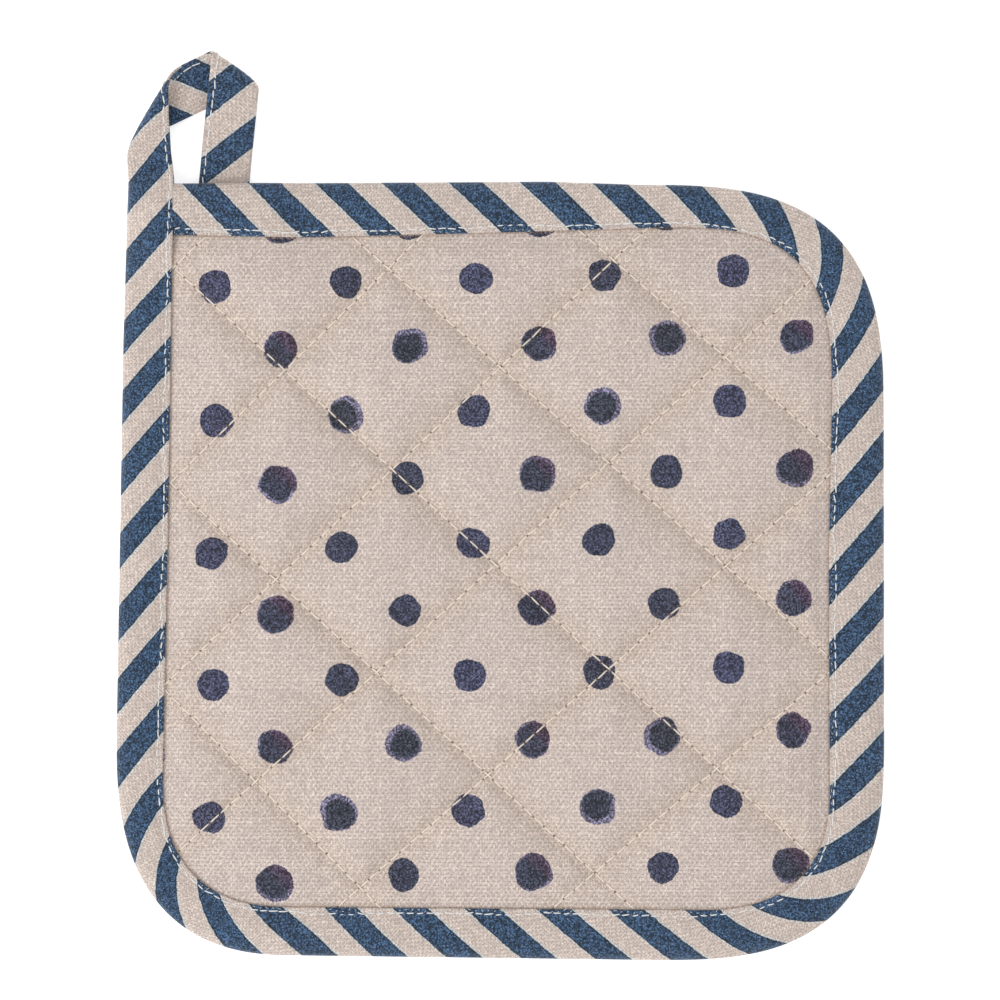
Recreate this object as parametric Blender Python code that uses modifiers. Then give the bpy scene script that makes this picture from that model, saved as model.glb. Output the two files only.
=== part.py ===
"""Quilted pot holder, lying flat on its back: a padded square sewn in diamonds and bound all round with one
folded strip, which runs on past the upper left corner as a hanging loop and is tucked under the top binding.

Lengths are in millimetres until the mesh is made. +X is right, +Y is up the pad and +Z is out of its front.
The origin is under the middle of the whole thing, on the surface that it lies on.
"""

import math
from collections import namedtuple

import bpy
import numpy as np
from mathutils import Matrix, Vector
from mathutils.geometry import delaunay_2d_cdt

MM = 0.001

# Outlines, seen from the front. A Corner joins a level side to an upright one: side_x and side_y are where
# it leaves them, reach_x and reach_y are how far it goes, and fullness is 2 for an ellipse, more if squarer.
Point = namedtuple("Point", "x y")
Corner = namedtuple("Corner", "side_x side_y reach_x reach_y fullness")

PAD_CORNER = Point(-96.9, 84.0)
OUTER_EDGE = (
    PAD_CORNER,
    Point(12.9, 84.6),
    Corner(36.3, 22.4, 63.7, 61.4, 3.0),
    Corner(41.5, -60.8, 58.6, -57.7, 2.85),
    Corner(-52.1, -60.8, -48.1, -56.5, 2.6),
    Point(-98.4, 43.2),
)
LIP_CORNER = Point(-85.2, 70.5)
LIP_EDGE = (
    LIP_CORNER,
    Point(-52.7, 69.9),
    Point(-1.2, 71.2),
    Corner(44.0, 27.6, 42.4, 45.0, 3.0),
    Point(85.5, -14.0),
    Corner(51.9, -73.8, 33.9, -31.5, 2.45),
    Corner(-54.7, -71.2, -33.3, -33.3, 2.45),
    Point(-86.7, -10.1),
    Point(-85.7, 53.3),
)
CORNER_STEPS = 24
EDGE_SPACING = 6.8
FINE_SPACING = 0.5

# The sewn seams: how far each lies from the origin, square to itself, and its slope. The first and last row
# of each family lie past the pad's edge and only close the half diamonds there.
Seam = namedtuple("Seam", "offset slope")
FALLING_SEAMS = (
    Seam(-138.0, -46.0),
    Seam(-95.9, -45.3),
    Seam(-53.8, -42.6),
    Seam(-12.1, -42.7),
    Seam(27.1, -41.4),
    Seam(67.7, -40.9),
    Seam(108.0, -40.5),
)
RISING_SEAMS = (
    Seam(-127.0, 40.0),
    Seam(-88.6, 40.5),
    Seam(-50.5, 41.3),
    Seam(-10.5, 42.1),
    Seam(26.3, 43.4),
    Seam(64.6, 44.5),
    Seam(103.6, 43.4),
    Seam(142.0, 43.0),
)
STEPS_PER_DIAMOND = 7

# How the pad's points are joined: only inside its rim, points this close being one.
INSIDE_ONLY = 1
WELD_DISTANCE = 1e-4

# Heights over the surface.
CROWN_HEIGHT = 8.8
SEAM_HEIGHT = 5.3
BACK_CHANNEL = 0.9
PILLOW_SHAPE = 2.6
PILLOW_FULLNESS = 0.62
EDGE_SWELL = 15.0

# The pad's rim, pressed flat inside the binding. inset is from the outer edge, or from the lip further in.
Rim = namedtuple("Rim", "edge inset back front")
RIMS = (
    Rim("outer", 3.2, 2.0, 3.5),
    Rim("outer", 6.0, 1.6, 3.9),
    Rim("lip", 0.9, 1.6, 3.9),
    Rim("lip", 3.0, 0.0, 5.5),
)
FIRST_QUILT_INSET = 5.2

# The binding's outer skin, from its back lip round the pad's edge to its front lip. across is a share of the
# width from the outer edge to the lip.
BandPoint = namedtuple("BandPoint", "across height")
BAND_SECTION = (
    BandPoint(1.0, 0.0),
    BandPoint(0.24, 0.0),
    BandPoint(0.07, 1.2),
    BandPoint(0.0, 2.8),
    BandPoint(0.06, 4.4),
    BandPoint(0.25, 5.6),
    BandPoint(0.62, 6.0),
    BandPoint(1.0, 5.5),
)
BAND_THICKNESS = 1.0
BAND_START_X = -84.7
BAND_END_Y = 83.7
BAND_SPACING = 7.6
FINE_LIP_POINTS = 2000
LIP_SEARCH = 0.05

# The hanging loop: a flat strip that leaves the left binding upwards and is turned over in two soft folds.
# station is where a fold starts along the strip's middle, and slant is its angle to the strip's run.
Fold = namedtuple("Fold", "station slant radius")
LOOP_FOLDS = (Fold(14.4, -34.6, 1.9), Fold(41.6, 60.9, 1.9))
LOOP_START = Point(-90.5, 84.3)
LOOP_WIDTH = 13.2
LOOP_THICKNESS = 2.0
LOOP_LENGTH = 84.0
LOOP_STEPS = 66
LOOP_STEPS_ACROSS = 8
Heading = namedtuple("Heading", "station degrees")
LOOP_HEADINGS = (Heading(0, 92.0), Heading(12, 94.5), Heading(56, 94.5), Heading(84, 95.5))
# Height of the strip's middle layer on its first and third runs; the run between them lies two radii lower.
Rise = namedtuple("Rise", "station height")
LOOP_RISES = (
    Rise(0, 4.2),
    Rise(13, 5.0),
    Rise(52, 5.0),
    Rise(73, 1.1),
    Rise(84, 1.0),
)

# Where the loop's end lies under the top binding, all that is over it is lifted.
TUCK_CENTRE = Point(-73.0, 78.0)
TUCK_HALF_WIDTH = 8.6
TUCK_HALF_DEPTH = 9.0
TUCK_LIFT = 2.35
TUCK_EASE = 20.0

CANVAS = ("dotted_canvas", (0.60, 0.51, 0.46, 1.0), 0.92)
STRIPE = ("striped_binding", (0.12, 0.19, 0.29, 1.0), 0.9)
LOOP_STRIPE = ("striped_loop", (0.13, 0.20, 0.30, 1.0), 0.9)


def corner_arc(corner):
    """A quarter of a superellipse, from the level side to the upright one."""
    angle = np.linspace(0, math.pi / 2, CORNER_STEPS)
    power = 2 / corner.fullness
    across = corner.side_x + corner.reach_x * np.sin(angle) ** power
    up = corner.side_y + corner.reach_y * np.abs(np.cos(angle)) ** power
    return np.stack([across, up], axis=1)


def walk(rows):
    """The points of an outline, clockwise, each corner taken from the end that is nearer the last point."""
    path = [np.array([rows[0]], float)]
    for row in rows[1:]:
        if isinstance(row, Point):
            path.append(np.array([row], float))
            continue
        arc = corner_arc(row)
        last = path[-1][-1]
        if np.linalg.norm(arc[0] - last) > np.linalg.norm(arc[-1] - last):
            arc = arc[::-1]
        path.append(arc)
    return np.concatenate(path)


def along(path):
    """Distance along a path, at each of its points."""
    steps = np.linalg.norm(np.diff(path, axis=0), axis=1)
    return np.concatenate([[0.0], np.cumsum(steps)])


def resampled(path, count):
    """The path again, as this many points the same distance apart."""
    distance = along(path)
    wanted = np.linspace(0, distance[-1], count)
    return np.stack([np.interp(wanted, distance, path[:, axis]) for axis in (0, 1)], axis=1)


def ring(rows, spacing):
    """A closed outline, clockwise from its square corner, without the first point repeated."""
    path = walk(rows)
    path = np.concatenate([path, path[:1]])
    return resampled(path, round(along(path)[-1] / spacing) + 1)[:-1]


def inset(points, distance):
    """A closed clockwise outline drawn in by this much, each point moved along its mitre."""
    before = points - np.roll(points, 1, axis=0)
    after = np.roll(points, -1, axis=0) - points
    inward = []
    for edge in (before, after):
        edge = edge / np.linalg.norm(edge, axis=1, keepdims=True)
        inward.append(np.stack([edge[:, 1], -edge[:, 0]], axis=1))
    mitre = inward[0] + inward[1]
    mitre /= (mitre * inward[0]).sum(axis=1, keepdims=True)
    return points + distance * mitre


def inside(points, polygon):
    """Which points lie in a closed polygon, by the parity of the edges to their right."""
    ahead = np.roll(polygon, -1, axis=0)
    x, y = points[:, :1], points[:, 1:]
    crosses = (polygon[:, 1] > y) != (ahead[:, 1] > y)
    rise = np.where(ahead[:, 1] == polygon[:, 1], 1.0, ahead[:, 1] - polygon[:, 1])
    at = polygon[:, 0] + (y - polygon[:, 1]) * (ahead[:, 0] - polygon[:, 0]) / rise
    return (crosses & (x < at)).sum(axis=1) % 2 == 1


def distance_to(points, outline):
    """Distance from each point to the nearest of an outline's finely spaced points."""
    gaps = points[:, None, :] - outline[None, :, :]
    return np.sqrt((gaps**2).sum(axis=2)).min(axis=1)


def lift(points):
    """How far the cloth is raised over the loop's tucked end, easing to nothing around it."""
    past_x = np.abs(points[:, 0] - TUCK_CENTRE.x) - TUCK_HALF_WIDTH
    past_y = np.abs(points[:, 1] - TUCK_CENTRE.y) - TUCK_HALF_DEPTH
    share = np.clip(np.hypot(np.maximum(past_x, 0), np.maximum(past_y, 0)) / TUCK_EASE, 0, 1)
    return TUCK_LIFT * (0.5 + 0.5 * np.cos(math.pi * share))


def family(seams, index):
    """Offset and unit normal of the line at this place among the seams, whole at a seam."""
    rows = np.arange(len(seams))
    offset = np.interp(index, rows, [seam.offset for seam in seams])
    slope = np.radians(np.interp(index, rows, [seam.slope for seam in seams]))
    return offset, -np.sin(slope), np.cos(slope)


def quilt_points(falling, rising):
    """Where the line at each place among the falling seams meets the one among the rising seams."""
    first, first_x, first_y = family(FALLING_SEAMS, falling)
    second, second_x, second_y = family(RISING_SEAMS, rising)
    cross = first_x * second_y - first_y * second_x
    x = (first * second_y - second * first_y) / cross
    y = (second * first_x - first * second_x) / cross
    return np.stack([x, y], axis=1)


def pillow(index):
    """Fullness of a channel, 0 on its seams and 1 half way between them."""
    share = 2 * (index - np.floor(index)) - 1
    return (1 - np.abs(share) ** PILLOW_SHAPE) ** PILLOW_FULLNESS


def quilt_grid(lip):
    """The pad's inner points on a grid that runs with the seams, with their back and front heights."""
    falling = np.arange((len(FALLING_SEAMS) - 1) * STEPS_PER_DIAMOND) / STEPS_PER_DIAMOND
    rising = np.arange((len(RISING_SEAMS) - 1) * STEPS_PER_DIAMOND) / STEPS_PER_DIAMOND
    falling, rising = (grid.ravel() for grid in np.meshgrid(falling, rising))
    points = quilt_points(falling, rising)
    depth = distance_to(points, lip)
    kept = inside(points, lip) & (depth > FIRST_QUILT_INSET)
    points, depth, falling, rising = points[kept], depth[kept], falling[kept], rising[kept]
    fullness = pillow(falling) * pillow(rising)
    swell = (1 - (1 - np.clip(depth / EDGE_SWELL, 0, 1)) ** 2.2) ** 0.6
    front = SEAM_HEIGHT + (CROWN_HEIGHT - SEAM_HEIGHT) * fullness * swell
    back = BACK_CHANNEL * np.clip(1 - 3 * fullness, 0, 1)
    return points, back, front


def make_object(name, points, faces, material, collection):
    """A mesh object from points in millimetres."""
    mesh = bpy.data.meshes.new(name)
    mesh.from_pydata([tuple(point) for point in points * MM], [], faces)
    mesh.validate()
    mesh.materials.append(make_material(*material))
    made = bpy.data.objects.new(name, mesh)
    collection.objects.link(made)
    return made


def make_material(name, color, roughness):
    material = bpy.data.materials.new(name)
    material.use_nodes = True
    shader = material.node_tree.nodes["Principled BSDF"]
    shader.inputs["Base Color"].default_value = color
    shader.inputs["Roughness"].default_value = roughness
    shader.inputs["Metallic"].default_value = 0.0
    return material


def grid_faces(rows, columns):
    """Quads of a grid of points stored row by row."""
    corners = np.arange(rows * columns).reshape(rows, columns)
    quads = (corners[:-1, :-1], corners[:-1, 1:], corners[1:, 1:], corners[1:, :-1])
    return np.stack(quads, axis=-1).reshape(-1, 4).tolist()


def make_pad(collection):
    """One filled body: the same triangles make its front and its back, with a narrow wall round the rim."""
    outlines = {"outer": ring(OUTER_EDGE, EDGE_SPACING), "lip": ring(LIP_EDGE, EDGE_SPACING)}
    fine_lip = ring(LIP_EDGE, FINE_SPACING)
    loops = [inset(outlines[rim.edge], rim.inset) for rim in RIMS]
    backs = [np.full(len(loop), rim.back) for loop, rim in zip(loops, RIMS)]
    fronts = [np.full(len(loop), rim.front) for loop, rim in zip(loops, RIMS)]
    quilt, quilt_back, quilt_front = quilt_grid(fine_lip)
    points = np.concatenate([*loops, quilt])
    back = np.concatenate([*backs, quilt_back])
    front = np.concatenate([*fronts, quilt_front])
    edges = []
    start = 0
    for loop in loops:
        count = len(loop)
        edges += [(start + i, start + (i + 1) % count) for i in range(count)]
        start += count
    corners = [Vector(point) for point in points]
    flat, _, triangles, sources, _, _ = delaunay_2d_cdt(corners, edges, [], INSIDE_ONLY, WELD_DISTANCE)
    flat = np.array([tuple(point) for point in flat])
    source = np.array([rows[0] for rows in sources])
    raised = lift(flat)
    count = len(flat)
    top = np.column_stack([flat, front[source] + raised])
    bottom = np.column_stack([flat, back[source] + raised])
    place = {int(old): new for new, old in enumerate(source)}
    rim = [place[i] for i in range(len(loops[0]))]
    faces = [tuple(triangle) for triangle in triangles]
    faces += [tuple(corner + count for corner in reversed(triangle)) for triangle in triangles]
    for i, corner in enumerate(rim):
        after = rim[(i + 1) % len(rim)]
        faces.append((corner, after, after + count, corner + count))
    return make_object("quilted_pad", np.concatenate([top, bottom]), faces, CANVAS, collection)


def band_paths():
    """The binding's outer edge and, for each of its points, the nearest point of the lip beside it."""
    outer_start = Point(BAND_START_X, PAD_CORNER.y)
    outer_end = Point(PAD_CORNER.x, BAND_END_Y)
    lip_start = Point(BAND_START_X, LIP_CORNER.y)
    lip_end = Point(LIP_CORNER.x, BAND_END_Y)
    outer = walk((outer_start, *OUTER_EDGE[1:], outer_end))
    lip = walk((lip_start, *LIP_EDGE[1:], LIP_CORNER, lip_end))
    outer = resampled(outer, round(along(outer)[-1] / BAND_SPACING) + 1)
    lip = resampled(lip, FINE_LIP_POINTS)
    share_outer = np.linspace(0, 1, len(outer))[:, None]
    share_lip = np.linspace(0, 1, len(lip))[None, :]
    gap = np.linalg.norm(outer[:, None, :] - lip[None, :, :], axis=2)
    gap[np.abs(share_outer - share_lip) > LIP_SEARCH] = np.inf
    nearest = lip[gap.argmin(axis=1)]
    nearest[0], nearest[-1] = lip[0], lip[-1]
    return outer, nearest


def make_binding(collection):
    """The folded strip round the pad: its section goes round as an open skin, thickened inwards."""
    outer, lip = band_paths()
    rows = []
    for point in BAND_SECTION:
        flat = outer + point.across * (lip - outer)
        rows.append(np.column_stack([flat, point.height + lift(flat)]))
    points = np.stack(rows, axis=1).reshape(-1, 3)
    faces = grid_faces(len(outer), len(BAND_SECTION))
    binding = make_object("edge_binding", points, faces, STRIPE, collection)
    wall = binding.modifiers.new("thickness", "SOLIDIFY")
    wall.thickness = BAND_THICKNESS * MM
    wall.offset = -1
    wall.use_even_offset = True
    return binding


def roll_over(points, anchor, slant, forward, radius):
    """Carries what lies past a slanted line back round a cylinder under it, and on in the other direction."""
    line = np.array([math.cos(slant), math.sin(slant)])
    past = np.array([-line[1], line[0]])
    if past @ forward < 0:
        past = -past
    flat = points[..., :2] - anchor
    height = points[..., 2]
    run = flat @ line
    over = flat @ past
    turn = np.clip(over / radius, 0, math.pi)
    rest = np.maximum(over - math.pi * radius, 0)
    beyond = over > 0
    moved = np.where(beyond, (radius + height) * np.sin(turn) - rest, over)
    sunk = np.where(beyond, (radius + height) * np.cos(turn) - radius, height)
    placed = anchor + run[..., None] * line + moved[..., None] * past
    return np.concatenate([placed, sunk[..., None]], axis=-1)


def from_table(station, rows):
    """The second column of a short table, read between its rows at these stations."""
    stations, values = zip(*rows)
    return np.interp(station, stations, values)


def loop_sheet():
    """The strip's middle layer: laid out flat, turned over its last fold first, then set at its height."""
    station = np.linspace(0, LOOP_LENGTH, LOOP_STEPS + 1)
    heading = np.radians(from_table(station, LOOP_HEADINGS))
    half_way = (heading[1:] + heading[:-1]) / 2
    steps = np.diff(station)
    middle_x = LOOP_START.x + np.concatenate([[0.0], np.cumsum(np.cos(half_way) * steps)])
    middle_y = LOOP_START.y + np.concatenate([[0.0], np.cumsum(np.sin(half_way) * steps)])
    across = np.linspace(-LOOP_WIDTH / 2, LOOP_WIDTH / 2, LOOP_STEPS_ACROSS + 1)
    x = middle_x[:, None] + across * np.sin(heading)[:, None]
    y = middle_y[:, None] - across * np.cos(heading)[:, None]
    points = np.stack([x, y, np.zeros_like(x)], axis=-1)
    for fold in reversed(LOOP_FOLDS):
        anchor = np.array([np.interp(fold.station, station, path) for path in (middle_x, middle_y)])
        turned = np.interp(fold.station, station, heading)
        forward = np.array([math.cos(turned), math.sin(turned)])
        points = roll_over(points, anchor, turned + math.radians(fold.slant), forward, fold.radius)
    points[..., 2] += from_table(station, LOOP_RISES)[:, None]
    return points


def make_loop(collection):
    """The hanging loop, its middle layer thickened both ways."""
    sheet = loop_sheet()
    rows, columns = sheet.shape[:2]
    faces = grid_faces(rows, columns)
    loop = make_object("hanging_loop", sheet.reshape(-1, 3), faces, LOOP_STRIPE, collection)
    wall = loop.modifiers.new("thickness", "SOLIDIFY")
    wall.thickness = LOOP_THICKNESS * MM
    wall.offset = 0
    wall.use_even_offset = True
    return loop


def clear_scene():
    for old in list(bpy.data.objects):
        bpy.data.objects.remove(old, do_unlink=True)


def centre_on_origin(pieces):
    """Moves all the meshes together, so that the origin is under the middle of their common box."""
    graph = bpy.context.evaluated_depsgraph_get()
    corners = np.array([corner for piece in pieces for corner in piece.evaluated_get(graph).bound_box])
    middle = (corners.min(axis=0) + corners.max(axis=0)) / 2
    for piece in pieces:
        piece.data.transform(Matrix.Translation((-middle[0], -middle[1], 0.0)))


def main():
    clear_scene()
    collection = bpy.data.collections.new("quilted_pot_holder")
    bpy.context.scene.collection.children.link(collection)
    pieces = [make_pad(collection), make_binding(collection), make_loop(collection)]
    centre_on_origin(pieces)


if __name__ == "__main__":
    main()
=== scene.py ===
"""Dressed quilted pot holder: a padded, dotted square sewn in diamonds, bound with one striped strip that
runs on as its hanging loop, with all its sewing.

Lengths are in millimetres on the maker's drawing until a mesh is made. On the drawing +X is right, +Y is up
the pad and +Z is out of its front.
"""

import math
from collections import namedtuple

import bpy
import numpy as np
from bpy.props import FloatProperty, FloatVectorProperty, IntProperty, PointerProperty
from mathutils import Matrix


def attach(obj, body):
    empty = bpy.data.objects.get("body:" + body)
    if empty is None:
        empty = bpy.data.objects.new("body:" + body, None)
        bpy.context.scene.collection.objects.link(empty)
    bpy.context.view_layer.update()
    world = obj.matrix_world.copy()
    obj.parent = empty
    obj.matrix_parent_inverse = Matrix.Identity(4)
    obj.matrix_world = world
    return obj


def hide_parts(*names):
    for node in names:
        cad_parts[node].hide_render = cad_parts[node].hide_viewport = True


bl_info = {
    "name": "Quilted Pot Holder",
    "version": (1, 0, 0),
    "blender": (4, 5, 0),
    "location": "3D View > Sidebar > Pot Holder",
    "description": "Builds the cloth, binding and sewing of a quilted pot holder",
    "category": "Object",
}

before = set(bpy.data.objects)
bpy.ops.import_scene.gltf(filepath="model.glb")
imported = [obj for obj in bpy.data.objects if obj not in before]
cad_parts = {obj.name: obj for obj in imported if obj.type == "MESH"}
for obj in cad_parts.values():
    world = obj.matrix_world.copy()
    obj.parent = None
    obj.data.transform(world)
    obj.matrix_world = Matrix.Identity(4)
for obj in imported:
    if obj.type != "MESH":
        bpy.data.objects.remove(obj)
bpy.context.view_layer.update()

MM = 0.001
DRAWING_MIDDLE = (-0.055, 0.325)

# ---- the drawing

Point = namedtuple("Point", "x y")
Corner = namedtuple("Corner", "side_x side_y reach_x reach_y fullness")


def table(columns, *rows):
    """A short table: every row has these named columns."""
    row = namedtuple("Row", columns)
    return tuple(row(*values) for values in rows)


PAD_CORNER = Point(-96.9, 84.0)
OUTER_EDGE = (
    PAD_CORNER,
    Point(12.9, 84.6),
    Corner(36.3, 22.4, 63.7, 61.4, 3.0),
    Corner(41.5, -60.8, 58.6, -57.7, 2.85),
    Corner(-52.1, -60.8, -48.1, -56.5, 2.6),
    Point(-98.4, 43.2),
)
LIP_CORNER = Point(-85.2, 70.5)
LIP_EDGE = (
    LIP_CORNER,
    Point(-52.7, 69.9),
    Point(-1.2, 71.2),
    Corner(44.0, 27.6, 42.4, 45.0, 3.0),
    Point(85.5, -14.0),
    Corner(51.9, -73.8, 33.9, -31.5, 2.45),
    Corner(-54.7, -71.2, -33.3, -33.3, 2.45),
    Point(-86.7, -10.1),
    Point(-85.7, 53.3),
)
CORNER_STEPS = 64

FALLING_SEAMS = table(
    "offset slope",
    (-138.0, -46.0), (-95.9, -45.3), (-53.8, -42.6), (-12.1, -42.7),
    (27.1, -41.4), (67.7, -40.9), (108.0, -40.5),
)
RISING_SEAMS = table(
    "offset slope",
    (-127.0, 40.0), (-88.6, 40.5), (-50.5, 41.3), (-10.5, 42.1),
    (26.3, 43.4), (64.6, 44.5), (103.6, 43.4), (142.0, 43.0),
)

# Where the loop's end lies under the top binding, all that is over it is lifted.
TUCK_CENTRE = Point(-73.0, 78.0)
TUCK_HALF_WIDTH = 8.6
TUCK_HALF_DEPTH = 9.0
TUCK_LIFT = 2.35
TUCK_EASE = 20.0

# The strip's section from its back lip round the outer edge to its front lip. across is a share of the width,
# and height runs from -1 at the back to 1 at the front.
STRIP_SECTION = table(
    "across height",
    (1.0, -0.97), (0.75, -1.0), (0.5, -1.0), (0.27, -0.96), (0.11, -0.72), (0.02, -0.3), (0.0, 0.0),
    (0.02, 0.3), (0.1, 0.66), (0.24, 0.9), (0.45, 1.0), (0.68, 0.98), (0.86, 0.86), (1.0, 0.82),
)
SECTION_STEPS = 15
BAND_WIDTH = 12.2
BAND_RISE = 3.0
WALL = 0.9
BAND_MIDDLE = 2.95
BAND_HALF_HEIGHT = 2.95
BAND_START_X = -86.4
BAND_END_Y = 83.7
JOIN_EASE = 8.0
STRIP_SPACING = 0.95

LOOP_FOLDS = table("station slant radius", (14.4, -34.6, 1.9), (41.6, 60.9, 1.9))
LOOP_START = Point(-90.5, 84.3)
LOOP_HIDDEN = -20
LOOP_GAP = 0.6
LOOP_LENGTH = 84.0
LOOP_HALF_HEIGHT = 0.98
LOOP_HEADINGS = table("station degrees", (-20, 92.0), (0, 92.0), (12, 94.5), (56, 94.5), (84, 95.5))
LOOP_RISES = table("station height", (-20, 4.2), (0, 4.2), (13, 5.0), (52, 5.0), (73, 1.1), (84, 1.0))
LOOP_WIDTHS = table(
    "station outer inner",
    (-20, 6.5, 5.4), (0, 6.5, 5.5), (8, 6.6, 5.0), (18, 6.6, 5.2), (34, 6.6, 6.6), (84, 6.6, 6.6),
)

# Where the middle of a numbered stripe meets the strip's outer edge, and how far the stripe leads on for each
# millimetre across: the cloth is cut on the slant, and is stretched round the corners.
STRIPE_MARKS = table(
    "stripe x y lead",
    (0, -79.0, 83.7, 0.95), (4, -9.5, 84.0, 1.03), (7, 47.5, 83.5, 1.0), (8, 67.5, 81.0, 1.1),
    (9, 86.0, 72.5, 1.4), (10, 96.0, 55.0, 1.4), (12, 100.0, 14.5, 1.25), (16, 100.0, -63.0, 1.05),
    (17, 99.0, -83.0, 1.05), (18, 89.0, -104.5, 1.5), (19, 69.5, -115.0, 1.5), (20, 49.0, -118.0, 1.3),
    (24, -28.5, -117.5, 1.1), (25, -47.0, -117.5, 1.0), (26, -66.5, -115.5, 1.3),
    (27, -86.5, -107.0, 1.5), (28, -97.5, -89.0, 1.4), (29, -99.5, -69.0, 1.25),
    (33, -99.0, 7.0, 1.2), (37, -96.5, 80.5, 1.15),
)
# The same on the loop, by the distance on from the last mark.
LOOP_MARKS = table(
    "distance stripe lead",
    (16, 37.95, 1.1), (24, 38.7, 0.95), (45, 39.93, 0.97), (60, 40.68, 1.07), (110, 43.62, 1.07),
)
HIDDEN_START = 34.0
HIDDEN_STRIPES = 2
STRIPE_PITCH = 12.2
STRIPE_SLANT = math.radians(39.6)

# Rows of sewing along the strip: share is the place across it, on its front and on its back. stop is how far
# from the strip's end they stop, thick a share of the thread's radius and slant a share of its run.
MAIN_ROW, WHISKERS = table(
    "share stitch gap wander stray thick slant stop",
    (0.895, 2.3, 0.25, 0.45, 0.08, 1.0, 0.13, 2.5),
    (0.955, 0.85, 0.8, 0.1, 0.25, 0.36, 0.8, 86.0),
)

# On the pad's face: how it rises from the lip, the groove at a seam, the puckers beside it, the broad
# unevenness, and its height under the band.
FACE_EASE, FACE_FULLNESS = 15.0, 0.7
GROOVE_DEPTH, GROOVE_WIDTH = 0.6, 1.2
PUCKER_HEIGHT, PUCKER_REACH = 0.13, 3.5
UNEVENNESS = 0.16
UNDER_BAND, UNDER_BAND_EASE = 4.3, 6.0
SEAM_SPACING = 41.0

# On its back and at its rim, which is inside the band: the low parts, how far a seam draws the cloth up, and
# where the rim begins.
BACK_LOW, BACK_DRAWN, BACK_WIDTH = 0.25, 0.75, 2.4
BACK_RIM_START, BACK_RIM_EASE = 4.0, 7.0
FRONT_RIM_END, FRONT_RIM_EASE = 9.0, 8.0
RIM_FRONT, RIM_BACK = 3.6, 1.9
PAD_INSET = 3.2
PAD_STEPS = 240
LIP_REACH = 8.0

# The strip is dented by its sewing and creased beside it. It stands higher where it passes over its start.
DENT_DEPTH, DENT_WIDTH = 0.3, 0.9
CREASE_HEIGHT, CREASE_SHARE, CREASE_WIDTH = 0.1, 0.7, 0.25
OVERLAP_LIFT, OVERLAP_START, OVERLAP_EASE = 0.95, 22, 8.0
START_EASE = 5.0


def corner_arc(corner):
    """A quarter of a superellipse: across is sin(t) to the power 2/fullness, up is cos(t) to that power."""
    angle = np.linspace(0, math.pi / 2, CORNER_STEPS)
    power = 2 / corner.fullness
    across = corner.side_x + corner.reach_x * np.sin(angle) ** power
    return np.stack([across, corner.side_y + corner.reach_y * np.abs(np.cos(angle)) ** power], axis=1)


def walk(rows):
    """The points of an outline, clockwise, each corner taken from the end that is nearer the last point."""
    path = []
    for row in rows:
        part = np.array([row], float) if isinstance(row, Point) else corner_arc(row)
        if path and np.linalg.norm(part[0] - path[-1][-1]) > np.linalg.norm(part[-1] - path[-1][-1]):
            part = part[::-1]
        path.append(part)
    return np.concatenate(path)


def along(path):
    """Distance along a path at each of its points: the running sum of the steps between them."""
    steps = np.linalg.norm(np.diff(path, axis=0), axis=1)
    return np.concatenate([[0.0], np.cumsum(steps)])


def read_at(distance, path, wanted):
    """The path's points at the wanted distances, read in straight lines between its points."""
    return np.stack([np.interp(wanted, distance, column) for column in path.T], axis=1)


def resampled(path, count):
    """The path again, as this many points the same distance apart."""
    distance = along(path)
    return read_at(distance, path, np.linspace(0, distance[-1], count))


def eased(share):
    """Smooth step: 3 share squared less 2 share cubed, held at 0 and 1 outside."""
    share = np.clip(share, 0, 1)
    return share * share * (3 - 2 * share)


def ripple(position, wavelengths, seed):
    """A steady uneven wave from -1 to 1: the mean of one sine for each wavelength, phases from the seed."""
    phases = np.random.default_rng(seed).uniform(0, 2 * math.pi, len(wavelengths))
    waves = [np.sin(2 * math.pi * position / length + phase) for length, phase in zip(wavelengths, phases)]
    return sum(waves) / len(wavelengths)


def lift(points):
    """How far the cloth is raised over the loop's tucked end: half a cosine, from all of it to nothing."""
    past_x = np.abs(points[..., 0] - TUCK_CENTRE.x) - TUCK_HALF_WIDTH
    past_y = np.abs(points[..., 1] - TUCK_CENTRE.y) - TUCK_HALF_DEPTH
    share = np.clip(np.hypot(np.maximum(past_x, 0), np.maximum(past_y, 0)) / TUCK_EASE, 0, 1)
    return TUCK_LIFT * (0.5 + 0.5 * np.cos(math.pi * share))


def raised(flat, height):
    """Flat points with these heights."""
    return np.concatenate([flat, height[..., None]], axis=-1)


def unit(vectors):
    """The vectors at a length of 1."""
    return vectors / np.linalg.norm(vectors, axis=1, keepdims=True)


def from_table(station, rows, column=1):
    """One column of a short table, read between its rows at these stations."""
    rows = np.array(rows, float)
    return np.interp(station, rows[:, 0], rows[:, column])


# ---- quilting


def line_at(seams, index):
    """Offset and slope, in radians, of the line at this place among the seams, whole at a seam."""
    rows = np.arange(len(seams))
    offset = np.interp(index, rows, [seam.offset for seam in seams])
    return offset, np.radians(np.interp(index, rows, [seam.slope for seam in seams]))


def family(seams, index):
    """Offset and unit normal of the line at this place among the seams."""
    offset, slope = line_at(seams, index)
    return offset, -np.sin(slope), np.cos(slope)


def quilt_points(falling, rising):
    """Where the line at each place among the falling seams meets the one among the rising seams."""
    first, first_x, first_y = family(FALLING_SEAMS, falling)
    second, second_x, second_y = family(RISING_SEAMS, rising)
    cross = first_x * second_y - first_y * second_x
    x = (first * second_y - second * first_y) / cross
    y = (second * first_x - first * second_x) / cross
    return np.stack([x, y], axis=-1)


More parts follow.
